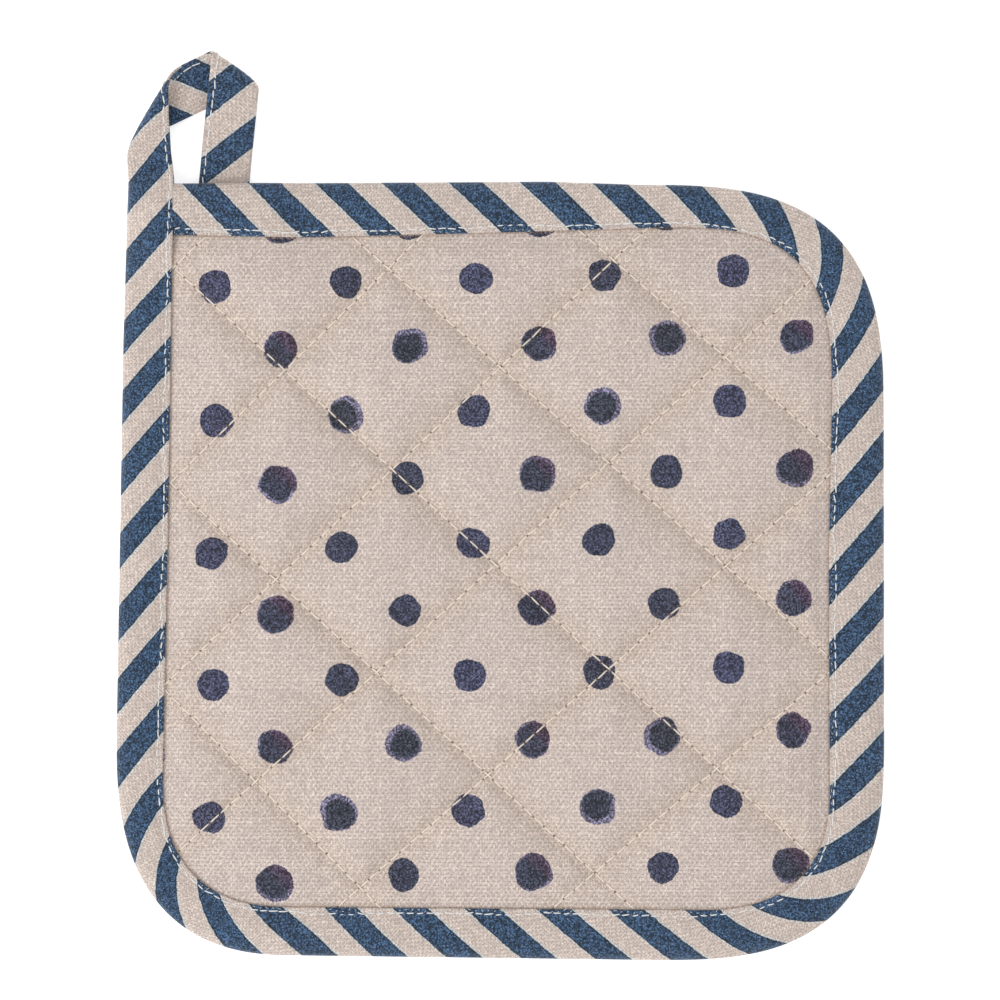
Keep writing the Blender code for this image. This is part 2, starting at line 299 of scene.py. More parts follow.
def place_among(seams, points):
    """The place among the seams of the line through each point, found by halving the range 24 times."""
    low = np.zeros(points.shape[:-1])
    high = np.full(points.shape[:-1], len(seams) - 1.0)
    for _ in range(24):
        middle = (low + high) / 2
        offset, across_x, across_y = family(seams, middle)
        short = offset < points[..., 0] * across_x + points[..., 1] * across_y
        low = np.where(short, middle, low)
        high = np.where(short, high, middle)
    return (low + high) / 2


def seam_gap(seams, points, place):
    """Distance from each point to its nearest seam of the family."""
    offset, across_x, across_y = family(seams, np.round(place))
    return np.abs(points[..., 0] * across_x + points[..., 1] * across_y - offset)


def seam_gaps(points):
    """Each point's place among the falling and the rising seams, and its gaps to the nearest of them."""
    families = (FALLING_SEAMS, RISING_SEAMS)
    places = [place_among(seams, points) for seams in families]
    return places, [seam_gap(seams, points, place) for seams, place in zip(families, places)]


def seam_map(seams, points):
    """For each point, how far along its seam direction it lies and its place among the seams."""
    place = place_among(seams, points)
    slope = line_at(seams, place)[1]
    return np.stack([points[..., 0] * np.cos(slope) + points[..., 1] * np.sin(slope), place], axis=-1)


def in_slices(points, work):
    """What the work gives for every point, done on a slice of them at a time to save room."""
    parts = [work(part) for part in np.array_split(points.reshape(-1, 2), 40)]
    return np.concatenate(parts).reshape(points.shape[:-1])


def distance_to(points, outline):
    """Distance from each point to the nearest of an outline's finely spaced points."""
    return in_slices(points, lambda part: np.sqrt(((part[:, None] - outline) ** 2).sum(axis=2)).min(axis=1))


def inside(points, polygon):
    """Which points lie in a closed polygon, by the parity of the edges to their right."""
    ahead = np.roll(polygon, -1, axis=0)
    rise = np.where(ahead[:, 1] == polygon[:, 1], 1.0, ahead[:, 1] - polygon[:, 1])

    def odd(part):
        x, y = part[:, :1], part[:, 1:]
        crosses = (polygon[:, 1] > y) != (ahead[:, 1] > y)
        at = polygon[:, 0] + (y - polygon[:, 1]) * (ahead[:, 0] - polygon[:, 0]) / rise
        return (crosses & (x < at)).sum(axis=1) % 2 == 1

    return in_slices(points, odd)


def lip_depth(points):
    """Distance in from the binding's lip, less than nothing under the binding."""
    lip = resampled(np.concatenate([walk(LIP_EDGE), [LIP_CORNER]]), 700)[:-1]
    return distance_to(points, lip) * np.where(inside(points, lip), 1, -1)


SIM_STEPS = 12
SIM_SCALE = 10.0
SIM_FRAMES = 30

CLOTH_SETTINGS = {
    "vertex_group_mass": "sewn",
    "quality": 6,
    "mass": 0.3,
    "tension_stiffness": 15,
    "compression_stiffness": 15,
    "shear_stiffness": 5,
    "bending_stiffness": 8.0,
    "use_pressure": True,
    "uniform_pressure_force": 6.0,
    "shrink_min": -0.02,
}


def sim_marks(seams):
    """The numbers of the simulation's rows of points from the first of these seams to the last."""
    return np.arange((len(seams) - 1) * SIM_STEPS + 1)


def new_object(name, points, faces):
    """A mesh object in the scene, from points in metres and a list of faces."""
    mesh = bpy.data.meshes.new(name)
    mesh.from_pydata(points.tolist(), [], faces)
    made = bpy.data.objects.new(name, mesh)
    bpy.context.scene.collection.objects.link(made)
    return made


def swollen_sheet():
    """The face cloth pinned along its seams and past the lip, and blown up by cloth simulation.

    It is a grid that runs with the seams, made ten times full size. The result is its rise at each grid
    place, as a share of the highest.
    """
    grid = np.meshgrid(sim_marks(FALLING_SEAMS), sim_marks(RISING_SEAMS), indexing="ij")
    flat = quilt_points(grid[0] / SIM_STEPS, grid[1] / SIM_STEPS)
    sewn = (grid[0] % SIM_STEPS == 0) | (grid[1] % SIM_STEPS == 0) | (lip_depth(flat) < 1.0)
    points = raised(flat, np.zeros(flat.shape[:2])).reshape(-1, 3)
    sheet = new_object("face_cloth", points * MM * SIM_SCALE, grid_faces(*flat.shape[:2]).tolist())
    sheet.vertex_groups.new(name="sewn").add(np.flatnonzero(sewn.ravel()).tolist(), 1.0, "REPLACE")
    cloth = sheet.modifiers.new("cloth", "CLOTH")
    for name, value in CLOTH_SETTINGS.items():
        setattr(cloth.settings, name, value)
    cloth.settings.effector_weights.gravity = 0
    cloth.collision_settings.use_collision = False
    scene = bpy.context.scene
    for step in range(1, SIM_FRAMES + 1):
        scene.frame_set(step)
    result = np.empty(len(points) * 3, np.float32)
    sheet.evaluated_get(bpy.context.evaluated_depsgraph_get()).data.vertices.foreach_get("co", result)
    scene.frame_set(1)
    bpy.data.meshes.remove(sheet.data)
    rise = np.abs(result.reshape(flat.shape[:2] + (3,))[:, :, 2])
    if not rise.max() > 0:
        raise RuntimeError("the face cloth did not swell")
    return rise / np.percentile(rise, 99.5)


def read_grid(grid, row, column):
    """Value of a grid between its points, by Catmull-Rom weights on the four nearest rows and columns."""

    def weights(share):
        square, cube = share**2, share**3
        return (
            (-cube + 2 * square - share) / 2,
            (3 * cube - 5 * square + 2) / 2,
            (-3 * cube + 4 * square + share) / 2,
            (cube - square) / 2,
        )

    first_row = np.clip(np.floor(row).astype(int), 0, grid.shape[0] - 2)
    first_column = np.clip(np.floor(column).astype(int), 0, grid.shape[1] - 2)
    total = np.zeros(row.shape)
    for down, row_weight in enumerate(weights(row - first_row)):
        at_row = np.clip(first_row + down - 1, 0, grid.shape[0] - 1)
        for over, column_weight in enumerate(weights(column - first_column)):
            at_column = np.clip(first_column + over - 1, 0, grid.shape[1] - 1)
            total += row_weight * column_weight * grid[at_row, at_column]
    return total


class Quilting:
    """The pad's face: its swelling is worked out once, then its height can be asked for anywhere."""

    swelling = None

    @classmethod
    def prepare(cls):
        cls.swelling = swollen_sheet()

    @classmethod
    def height(cls, points, sizes, depth=None):
        """Height of the face: the swelling read from the grid, times the ease at the lip, less a narrow
        groove along each seam, with small puckers that die away from the seams, and a broad unevenness."""
        depth = lip_depth(points) if depth is None else depth
        places, gaps = seam_gaps(points)
        swelling = np.clip(read_grid(cls.swelling, *(place * SIM_STEPS for place in places)), 0, 1.05)
        ease = eased((depth + 1.0) / FACE_EASE) ** FACE_FULLNESS
        crown = (sizes.crown_height - sizes.seam_height) / MM
        height = sizes.seam_height / MM + crown * swelling * ease
        for gap, other, seed in zip(gaps, places[::-1], (3, 4)):
            height -= GROOVE_DEPTH * np.exp(-((gap / GROOVE_WIDTH) ** 2))
            pucker = ripple(other * SEAM_SPACING, (3.6, 5.1, 8.3, 12.7), seed)
            height += PUCKER_HEIGHT * pucker * np.exp(-gap / PUCKER_REACH)
        x, y = points[..., 0], points[..., 1]
        height += UNEVENNESS * ripple(x + 0.4 * y, (31.0, 47.0, 19.0), 5)
        height += UNEVENNESS * ripple(y - 0.3 * x, (37.0, 53.0, 23.0), 6)
        share = eased((depth + 0.3) / UNDER_BAND_EASE)
        return UNDER_BAND + (height - UNDER_BAND) * share + lift(points)


# ---- meshes


def grid_faces(rows, columns, wrap=False):
    """Quads of a grid of points stored row by row, closed across its columns if wrap is true."""
    corners = np.arange(rows * columns).reshape(rows, columns)
    if wrap:
        corners = np.concatenate([corners, corners[:, :1]], axis=1)
    quads = (corners[:-1, :-1], corners[:-1, 1:], corners[1:, 1:], corners[1:, :-1])
    return np.stack(quads, axis=-1).reshape(-1, 4)


def signed_volume(points, faces):
    """A sixth of the sum of the box products of the faces' corners, each quad cut in two."""
    first = points[faces[:, 0]]
    total = 0.0
    for second, third in ((1, 2), (2, 3))[: faces.shape[1] - 2]:
        total += (first * np.cross(points[faces[:, second]], points[faces[:, third]])).sum()
    return total / 6


def make_piece(name, points, faces, material, maps=None):
    """A smooth mesh object from points on the drawing and groups of quads or triangles, turned outwards."""
    points = np.asarray(points, float) - (*DRAWING_MIDDLE, 0.0)
    if sum(signed_volume(points, part) for part in faces) < 0:
        faces = [part[:, ::-1] for part in faces]
    made = new_object(name, points * MM, [face for part in faces for face in part.tolist()])
    mesh = made.data
    mesh.materials.append(material)
    mesh.polygons.foreach_set("use_smooth", np.ones(len(mesh.polygons), bool))
    corner = np.empty(len(mesh.loops), np.int32)
    mesh.loops.foreach_get("vertex_index", corner)
    for title, values in (maps or {}).items():
        mesh.uv_layers.new(name=title).data.foreach_set("uv", values[corner].ravel().astype(np.float32))
    mesh.update()
    return made


def coons_patch(sides):
    """Points inside four joined sides: the two ruled surfaces between facing sides, less the one on the
    corners."""
    top, right, bottom, left = sides
    count = len(top)
    over = np.linspace(0, 1, count)[None, :, None]
    down = np.linspace(0, 1, count)[:, None, None]
    ruled = (1 - down) * top[None] + down * bottom[None, ::-1]
    ruled = ruled + (1 - over) * left[::-1, None] + over * right[:, None]
    corners = (1 - down) * ((1 - over) * top[0] + over * top[-1])
    corners = corners + down * ((1 - over) * bottom[-1] + over * bottom[0])
    return ruled - corners


def pad_sides(inset, count):
    """The pad's outline drawn in by this much and cut into four sides, at its furthest points diagonally."""
    outline = walk(OUTER_EDGE)
    outline = resampled(np.concatenate([outline, outline[:1]]), 1601)[:-1]
    run = unit(unit(outline - np.roll(outline, 2, axis=0)) + unit(np.roll(outline, -2, axis=0) - outline))
    outline = outline + inset * np.stack([run[:, 1], -run[:, 0]], axis=1)
    diagonal, other = outline.sum(axis=1), outline[:, 0] - outline[:, 1]
    cuts = [int(other.argmin()), int(diagonal.argmax()), int(other.argmax()), int(diagonal.argmin())]
    sides = []
    for start, end in zip(cuts, cuts[1:] + cuts[:1]):
        rows = np.arange(start, end + 1 if end > start else end + 1 + len(outline)) % len(outline)
        sides.append(resampled(outline[rows], count))
    return sides


def back_height(points, depth):
    """Height of the pad's back: flat, drawn up by a bell curve across each seam, easing to the rim."""
    gap = np.minimum(*seam_gaps(points)[1])
    back = BACK_LOW + BACK_DRAWN * np.exp(-((gap / BACK_WIDTH) ** 2))
    return back + (RIM_BACK - back) * eased((BACK_RIM_START - depth) / BACK_RIM_EASE) + lift(points)


def pad_surface(sizes):
    """The pad closed: a fine front and a back with every second point, both on one Coons patch, sewn together
    round the rim by triangles."""
    flat = coons_patch(pad_sides(PAD_INSET, PAD_STEPS + 1))
    depth = lip_depth(flat)
    front = Quilting.height(flat, sizes, depth)
    over_rim = np.minimum(front, UNDER_BAND + lift(flat)) - RIM_FRONT
    over_rim = over_rim * eased((depth + FRONT_RIM_END) / FRONT_RIM_EASE)
    front = np.where(depth < 0, RIM_FRONT + over_rim, front)
    coarse = flat[::2, ::2]
    back = back_height(coarse, depth[::2, ::2])
    count, half = PAD_STEPS + 1, PAD_STEPS // 2 + 1
    points = np.concatenate([raised(flat, front).reshape(-1, 3), raised(coarse, back).reshape(-1, 3)])
    quads = [grid_faces(count, count)[:, ::-1], grid_faces(half, half) + count * count]

    def edge(size):
        places = np.arange(size * size).reshape(size, size)
        return np.concatenate([places[0, :-1], places[:-1, -1], places[-1, :0:-1], places[:0:-1, 0]])

    fine, rough = edge(count), edge(half) + count * count
    first, middle, last = fine[0::2], fine[1::2], np.roll(fine[0::2], -1)
    after = np.roll(rough, -1)
    rim = ((first, middle, rough), (middle, last, after), (middle, after, rough))
    return points, [*quads, np.concatenate([np.stack(corners, axis=1) for corners in rim])]


# ---- the strip


def smooth_section():
    """The strip's outer skin as an even run of points on a Catmull-Rom curve through the section's table.

    Gives the share across and the height of each point, and its distance along the cloth from the outer edge.
    """
    rows = np.array(STRIP_SECTION, float)
    padded = np.concatenate([[2 * rows[0] - rows[1]], rows, [2 * rows[-1] - rows[-2]]])
    fine = np.linspace(0, len(rows) - 1 - 1e-9, 600)
    start = np.floor(fine).astype(int)
    share = (fine - start)[:, None]
    before, here, there, beyond = (padded[start + step] for step in range(4))
    curve = here + share / 2 * (
        there - before + share * (2 * before - 5 * here + 4 * there - beyond)
        + share**2 * (3 * (here - there) + beyond - before)
    )
    distance = along(curve * (BAND_WIDTH, BAND_RISE))
    wanted = np.linspace(0, distance[-1], 2 * SECTION_STEPS + 1)
    outer = read_at(distance, curve, wanted)
    return outer, wanted - wanted[outer[:, 0].argmin()]


# How the wall turns round a lip: how far it stands out, the depth into the wall, and the cloth used.
LIP_TURN = table("out into cloth", (0.022, 0.18, 0.2), (0.036, 0.5, 0.4), (0.022, 0.82, 0.2))


def section_loop():
    """The closed section: for each point its share across, height, depth into the wall from 0 to 1, and the
    distance across the cloth from the outer edge."""
    outer, cloth = smooth_section()
    skin, inner = (np.column_stack([outer, np.full(len(outer), into), cloth]) for into in (0.0, 1.0))

    def turn(end, side):
        across, height = outer[end]
        rows = LIP_TURN[::side]
        return [(across + row.out, height, row.into, cloth[end] + side * row.cloth) for row in rows]

    section = np.concatenate([skin, turn(-1, 1), inner[::-1], turn(0, -1)])
    section[:, 0] /= section[:, 0].max()
    return section


def band_rows():
    """The strip's outer edge and nearest lip at even steps round the pad, and on past the corner."""
    beyond = BAND_END_Y + JOIN_EASE
    outer = walk((Point(BAND_START_X, PAD_CORNER.y), *OUTER_EDGE[1:], Point(PAD_CORNER.x, beyond)))
    lip = walk((Point(BAND_START_X, LIP_CORNER.y), *LIP_EDGE[1:], LIP_CORNER, Point(LIP_CORNER.x, beyond)))
    length = along(outer)[-1]
    outer = resampled(outer, round(length / STRIP_SPACING) + 1)
    lip = resampled(lip, 4000)
    gap = np.linalg.norm(outer[:, None, :] - lip[None, :, :], axis=2)
    share = np.abs(np.linspace(0, 1, len(outer))[:, None] - np.linspace(0, 1, len(lip))[None, :])
    gap[share > 0.05] = np.inf
    nearest = lip[gap.argmin(axis=1)]
    nearest[0], nearest[-1] = lip[0], lip[-1]
    for _ in range(6):
        nearest[1:-1] = (nearest[:-2] + 2 * nearest[1:-1] + nearest[2:]) / 4
    return outer, nearest, length


def roll_over(points, anchor, slant, forward, radius):
    """Carries what lies past a slanted line back round a cylinder under it, and on in the other direction.

    Up to pi radii past the line a point turns round the cylinder; what is left runs on, upside down.
    """
    line = np.array([math.cos(slant), math.sin(slant)])
    past = np.array([-line[1], line[0]])
    if past @ forward < 0:
        past = -past
    flat, height = points[..., :2] - anchor, points[..., 2]
    run, over = flat @ line, flat @ past
    turn = np.clip(over / radius, 0, math.pi)
    rest = np.maximum(over - math.pi * radius, 0)
    moved = np.where(over > 0, (radius + height) * np.sin(turn) - rest, over)
    sunk = np.where(over > 0, (radius + height) * np.cos(turn) - radius, height)
    placed = anchor + run[..., None] * line + moved[..., None] * past
    return raised(placed, sunk)


def loop_rows(station, section):
    """The strip laid flat along its heading, turned over its last fold first, then set at its height."""
    track = np.linspace(LOOP_HIDDEN, LOOP_LENGTH, 1041)
    heading = np.radians(from_table(track, LOOP_HEADINGS))
    half_way = (heading[1:] + heading[:-1]) / 2
    runs = []
    for part, start in ((np.cos(half_way), LOOP_START.x), (np.sin(half_way), LOOP_START.y)):
        run = np.concatenate([[0.0], np.cumsum(part * np.diff(track))])
        runs.append(run + (start - np.interp(0, track, run)))
    turned = np.interp(station, track, heading)[:, None]
    outer, inner = (from_table(station, LOOP_WIDTHS, column)[:, None] for column in (1, 2))
    wall = section[:, 2] * WALL
    across = section[:, 0] * (outer + inner - wall) + wall - outer
    height = section[:, 1] * (LOOP_HALF_HEIGHT - wall)
    x, y = (np.interp(station, track, run)[:, None] for run in runs)
    x, y = x + across * np.sin(turned), y - across * np.cos(turned)
    points = np.stack([x, y, np.broadcast_to(height, x.shape)], axis=-1)
    for fold in reversed(LOOP_FOLDS):
        anchor = np.array([np.interp(fold.station, track, run) for run in runs])
        at = np.interp(fold.station, track, heading)
        forward = np.array([math.cos(at), math.sin(at)])
        points = roll_over(points, anchor, at + math.radians(fold.slant), forward, fold.radius)
    points[..., 2] += from_table(station, LOOP_RISES)[:, None]
    return points


def stripes_passed(outer, width, distance, across):
    """How many stripes have been passed at each place of the strip, by straight lines between the marks.

    Each mark is moved to the nearest point of the outer edge. A place further across takes its count from
    further back along the edge, by the stripe's lead times its distance across. A few more stripes lie before
    the first mark, under the corner.
    """
    marks = np.array([(mark.x, mark.y) for mark in STRIPE_MARKS])
    at = distance[np.linalg.norm(outer[:, None, :] - marks[None], axis=2).argmin(axis=0)]
    every = (*STRIPE_MARKS, *LOOP_MARKS)
    stations = [*at, *(at[-1] + mark.distance for mark in LOOP_MARKS)]
    places = [at[0] - HIDDEN_START, *stations]
    counts = [STRIPE_MARKS[0].stripe - HIDDEN_STRIPES, *(mark.stripe for mark in every)]
    lead = np.interp(distance, stations, [mark.lead for mark in every])
    full = np.concatenate([width[:, 0], np.full(len(distance) - len(width), width[-1, 0])])
    return np.interp(distance[:, None] - (lead * full)[:, None] * across[None, :], places, counts)


def strip_surface():
    """The whole strip: its section carried round the pad, easing over the corner into the flat loop.

    Gives points row by row, their cloth coordinates (square to the stripes and along them, in metres), and
    the section.
    """
    section = section_loop()
    outer, lip, length = band_rows()
    join = length - JOIN_EASE
    count = len(outer)
    spacing = length / (count - 1)
    extra = int((join + LOOP_GAP + LOOP_LENGTH - length) / spacing)
    distance = np.arange(count + extra) * spacing
    share, height, into, cloth = section.T
    wall = into * WALL
    width = np.linalg.norm(lip - outer, axis=1)[:, None]
    part = (wall + share * (width - wall)) / width
    flat = outer[:, None, :] + part[..., None] * (lip - outer)[:, None, :]
    rise = BAND_MIDDLE + height * (BAND_HALF_HEIGHT - wall) + lift(flat)
    front, run = height > 0.5, distance[:count, None]
    dent = np.exp(-(((share - MAIN_ROW.share) * BAND_WIDTH / DENT_WIDTH) ** 2)) * front
    crease = ripple(distance[:count], (6.3, 9.7, 15.1), 8)[:, None]
    fold = CREASE_HEIGHT * crease * np.exp(-(((share - CREASE_SHARE) / CREASE_WIDTH) ** 2)) * front
    rise = rise - DENT_DEPTH * dent + fold
    rise = rise + np.where(front, eased((run - join + OVERLAP_START) / OVERLAP_EASE), 0) * OVERLAP_LIFT
    rise = rise + np.where(height < -0.5, 1 - eased(run / START_EASE), 0) * OVERLAP_LIFT
    band = raised(flat, rise)
    first = count - int(2 * JOIN_EASE / spacing)
    loop = loop_rows(distance[first:] - join - LOOP_GAP, section)
    blend = eased(np.linspace(0, 1, count - first))[:, None, None]
    eased_in = (1 - blend) * band[first:] + blend * loop[: count - first]
    points = np.concatenate([band[:first], eased_in, loop[count - first :]])
    square = stripes_passed(outer, width, distance, np.sign(cloth) * share) * STRIPE_PITCH
    along_them = distance[:, None] * math.cos(STRIPE_SLANT) + cloth[None, :] * math.sin(STRIPE_SLANT)
    return points, np.stack([square, along_them], axis=-1) * MM, section


# ---- stitches


STITCH_RINGS, STITCH_SIDES = 7, 6


def stitch_shape():
    """One stitch of unit size: a capsule whose radius is the root of 1 less the sixth power of its run. Gives
    its points and the quads between its rings."""
    rings, sides = STITCH_RINGS, STITCH_SIDES
    run = np.sin(np.linspace(-math.pi / 2, math.pi / 2, rings))
    radius = np.sqrt(np.maximum(1 - np.abs(run) ** 6, 0))
    radius[[0, -1]] = 0.25
    angle = np.linspace(0, 2 * math.pi, sides, endpoint=False)
    level = np.broadcast_to(run[:, None] / 2, (rings, sides))
    points = np.stack([level, radius[:, None] * np.cos(angle), radius[:, None] * np.sin(angle)], axis=-1)
    return points.reshape(-1, 3), grid_faces(rings, sides, wrap=True)


def stitch_rows(middles, runs, ups, lengths, radii, dip):
    """All the stitches as one skin: the unit stitch stretched to each length and radius, its ends sunk by dip
    times the square of its run, and set on its middle along its run and up."""
    shape, walls = stitch_shape()
    sideways = unit(np.cross(ups, runs))
    ups = np.cross(runs, sideways)
    along_run = shape[None, :, 0] * lengths[:, None]
    across = shape[None, :, 1] * radii[:, None]
    over = shape[None, :, 2] * radii[:, None] - dip * (2 * shape[None, :, 0]) ** 2
    points = middles[:, None, :]
    for reach, axis in ((along_run, runs), (across, sideways), (over, ups)):
        points = points + reach[..., None] * axis[:, None, :]
    shifts = (np.arange(len(middles)) * len(shape))[:, None, None]
    ring = np.arange(STITCH_SIDES)
    caps = []
    for end in (ring, ring[::-1] + (STITCH_RINGS - 1) * STITCH_SIDES):
        fan = np.stack([np.full(STITCH_SIDES - 2, end[0]), end[1:-1], end[2:]], axis=1)
        caps.append((fan[None, :, ::-1] + shifts).reshape(-1, 3))
    return points.reshape(-1, 3), [(walls[None] + shifts).reshape(-1, 4), *caps]


def seam_stitches(seams, pitch):
    """The middle and run of every stitch of one family: half way between even marks along each seam, kept
    where it lies inside the lip."""
    marks = (np.arange(-40, 40) + 0.5) * pitch
    middles, runs = [], []
    for seam in seams[1:-1]:
        slope = math.radians(seam.slope)
        run = np.array([math.cos(slope), math.sin(slope)])
        across = np.array([-run[1], run[0]])
        at = seam.offset * across + marks[:, None] * run
        at = at[lip_depth(at) > -1.0]
        middles.append(at)
        runs.append(np.broadcast_to(run, at.shape))
    return np.concatenate(middles), np.concatenate(runs)


def quilt_stitches(sizes, pitch, length, radius, front):
    """Every stitch of the quilting on one face, turned a little off its seam and laid on that face."""

    def face(points):
        return Quilting.height(points, sizes) if front else back_height(points, lip_depth(points))

    side_up = 1.0 if front else -1.0
    random = np.random.default_rng(11)
    pairs = [seam_stitches(seams, pitch) for seams in (FALLING_SEAMS, RISING_SEAMS)]
    middles, runs = (np.concatenate(parts) for parts in zip(*pairs))
    count = len(middles)
    turn = random.normal(0, 0.035, count)
    runs = np.stack([runs[:, 0] - turn * runs[:, 1], runs[:, 1] + turn * runs[:, 0]], axis=1)
    ends = [face(middles + side * runs * length / 2) for side in (-1, 1)]
    rise = unit(np.column_stack([runs * length, ends[1] - ends[0]]))
    proud = side_up * np.maximum(side_up * face(middles), side_up * (ends[0] + ends[1]) / 2)
    centre = np.column_stack([middles, proud + side_up * radius * 0.7])
    ups = np.tile([0.0, 0.0, side_up], (count, 1))
    lengths = length * random.uniform(0.93, 1.05, count)
    return stitch_rows(centre, rise, ups, lengths, np.full(count, radius), 0.3)


def strip_line(points, section, share, front):
    """The strip's line of points at this share across its front or back, and the direction across it."""
    across, height, into, _ = section.T
    skin = np.flatnonzero((into == 0) & ((height > 0) == front))
    order = skin[np.argsort(across[skin])]
    place = np.interp(share, across[order], np.arange(len(order)))
    low = min(int(place), len(order) - 2)
    near, far = points[:, order[low]], points[:, order[low + 1]]
    inward = far - near
    return near + (place - low) * inward, unit(inward)


def strip_stitches(points, section, radius):
    """The sewing along the strip, on its front and its back: a wandering row of stitches end to end, and
    short slanted whiskers of thread between it and the lip."""
    random = np.random.default_rng(12)
    parts = []
    for row, front in ((row, front) for row in (MAIN_ROW, WHISKERS) for front in (True, False)):
        line, inward = strip_line(points, section, row.share, front)
        distance = along(line)
        step = row.stitch + row.gap
        wanted = np.arange(step, distance[-1] - row.stop, step)
        count = len(wanted)
        middles = read_at(distance, line, wanted)
        runs = unit(read_at(distance, line, wanted + 0.8) - read_at(distance, line, wanted - 0.8))
        sideways = read_at(distance, inward, wanted)
        ups = unit(np.cross(sideways, runs))
        drift = row.wander * ripple(wanted, (23.0, 41.0, 90.0), 21) + random.normal(0, row.stray, count)
        middles += sideways * drift[:, None]
        turned = unit(runs + sideways * random.normal(0, row.slant, count)[:, None])
        lengths = row.stitch * random.uniform(0.7, 1.15, count)
        middles += ups * radius * row.thick * 0.6
        parts.append(stitch_rows(middles, turned, ups, lengths, np.full(count, radius * row.thick), 0.2))
    return joined(parts)


def joined(parts):
    """Several skins as one: their points in a row, their faces counted on from the points before them."""
    start = 0
    points, faces = [], []
    for part_points, part_faces in parts:
        points.append(part_points)
        faces += [group + start for group in part_faces]
        start += len(part_points)
    return np.concatenate(points), faces


# ---- materials

HALF = (0.5, 0.5, 0.5)
NOWHERE = (0.0, 0.0, 0.0)
WHITE = (1.0, 1.0, 1.0)
FLAT_MM = (1000.0, 1000.0, 0.0)
SOLID_MM = (1000.0, 1000.0, 1000.0)
# Whole steps added to a distance before it is counted in steps, so that the count is never less than nothing.
STEPS_ON = 1000


def laid_out(operation, swapped=False):
    """Arithmetic on two values that lays out the node for it, with the second one first if swapped."""

    def work(self, other):
        return self.nodes.maths(operation, *((other, self) if swapped else (self, other)))

    return work


class Value:
    """A node's output that can be reckoned with: each sum or product lays out one more node."""

    def __init__(self, nodes, socket):
        self.nodes, self.socket = nodes, socket
        self.is_vector = socket.type in ("VECTOR", "RGBA")

    __add__, __sub__ = laid_out("ADD"), laid_out("SUBTRACT")
    __mul__, __truediv__ = laid_out("MULTIPLY"), laid_out("DIVIDE")
    __rsub__, __rmul__ = laid_out("SUBTRACT", swapped=True), laid_out("MULTIPLY", swapped=True)


class Nodes:
    """Short calls for laying out one node tree. An input takes a number, a triple or a Value.

    add gives one output of a new node, its first inputs wired in order, past None. maths picks the node for
    numbers or for vectors. spread is a map range, white and noise are textures, shaded multiplies a colour by
    a shade, emboss raises the shader's surface by a depth in millimetres, and group adds a shared group,
    which is built the first time.
    """

    def __init__(self, tree):
        self.tree = tree

    def wire(self, socket, value):
        if isinstance(value, Value):
            self.tree.links.new(value.socket, socket)
        elif socket.type == "RGBA":
            socket.default_value = (*value[:3], 1.0)
        else:
            socket.default_value = value

    def fill(self, sockets, **values):
        for name, value in values.items():
            self.wire(sockets[name.replace("_", " ")], value)

    def add(self, kind, *values, out=0, **settings):
        made = self.tree.nodes.new("ShaderNode" + kind)
        for name, setting in settings.items():
            setattr(made, name, setting)
        for socket, value in zip(made.inputs, values):
            if value is not None:
                self.wire(socket, value)
        return Value(self, made.outputs[out])

    def maths(self, operation, *values):
        vectors = [getattr(value, "is_vector", isinstance(value, tuple)) for value in values]
        if not any(vectors):
            return self.add("Math", *values, operation=operation)
        if operation == "MULTIPLY" and not vectors[1]:
            return self.add("VectorMath", values[0], None, None, values[1], operation="SCALE")
        out = "Value" if operation in ("DOT_PRODUCT", "LENGTH") else 0
        return self.add("VectorMath", *values, out=out, operation=operation)

    def split(self, vector):
        made = self.add("SeparateXYZ", vector).socket.node
        return [Value(self, socket) for socket in made.outputs]

    def joined(self, x, y, z=0.0):
        return self.add("CombineXYZ", x, y, z)

    def noise(self, vector, scale, detail=2.0, roughness=0.5, out="Fac"):
        return self.add("TexNoise", vector, None, scale, detail, roughness, out=out)

    def white(self, vector, out="Value"):
        return self.add("TexWhiteNoise", vector, out=out, noise_dimensions="3D")

    def spread(self, value, low, high, new_low=0.0, new_high=1.0, smooth=False):
        curve = "SMOOTHSTEP" if smooth else "LINEAR"
        return self.add("MapRange", value, low, high, new_low, new_high, clamp=True, interpolation_type=curve)

    def mix(self, share, first, second, blend="MIX"):
        unused = [None] * 5
        return self.add("Mix", share, *unused, first, second, out=2, data_type="RGBA", blend_type=blend)

    def shaded(self, colour, shade):
        return self.mix(1.0, colour, self.joined(shade, shade, shade), "MULTIPLY")

    def emboss(self, shader, height, strength, depth):
        bump = self.tree.nodes.new("ShaderNodeBump")
        self.fill(bump.inputs, Strength=strength, Distance=depth * MM, Height=height)
        self.tree.links.new(bump.outputs["Normal"], shader.inputs["Normal"])

    def group(self, build, **values):
        made = self.tree.nodes.new("ShaderNodeGroup")
        made.node_tree = bpy.data.node_groups.get(build.__name__) or build()
        self.fill(made.inputs, **values)
        return {socket.name: Value(self, socket) for socket in made.outputs}


def new_group(name, inputs, outputs):
    """An empty shader group: the inputs' names with their defaults, and the outputs' names, all numbers."""
    tree = bpy.data.node_groups.new(name, "ShaderNodeTree")
    for title, default in inputs.items():
        kind = "NodeSocketVector" if isinstance(default, tuple) else "NodeSocketFloat"
        tree.interface.new_socket(title, in_out="INPUT", socket_type=kind).default_value = default
    for title in outputs:
        tree.interface.new_socket(title, in_out="OUTPUT", socket_type="NodeSocketFloat")
    nodes = Nodes(tree)
    given = tree.nodes.new("NodeGroupInput").outputs
    values = {title: Value(nodes, given[title]) for title in inputs}
    return nodes, values, tree.nodes.new("NodeGroupOutput").inputs


# How round a thread is, and how much of the weave's height it gains or loses where it crosses another.
THREAD_ROUNDNESS, CROSSING_RISE = 3.6, 0.14


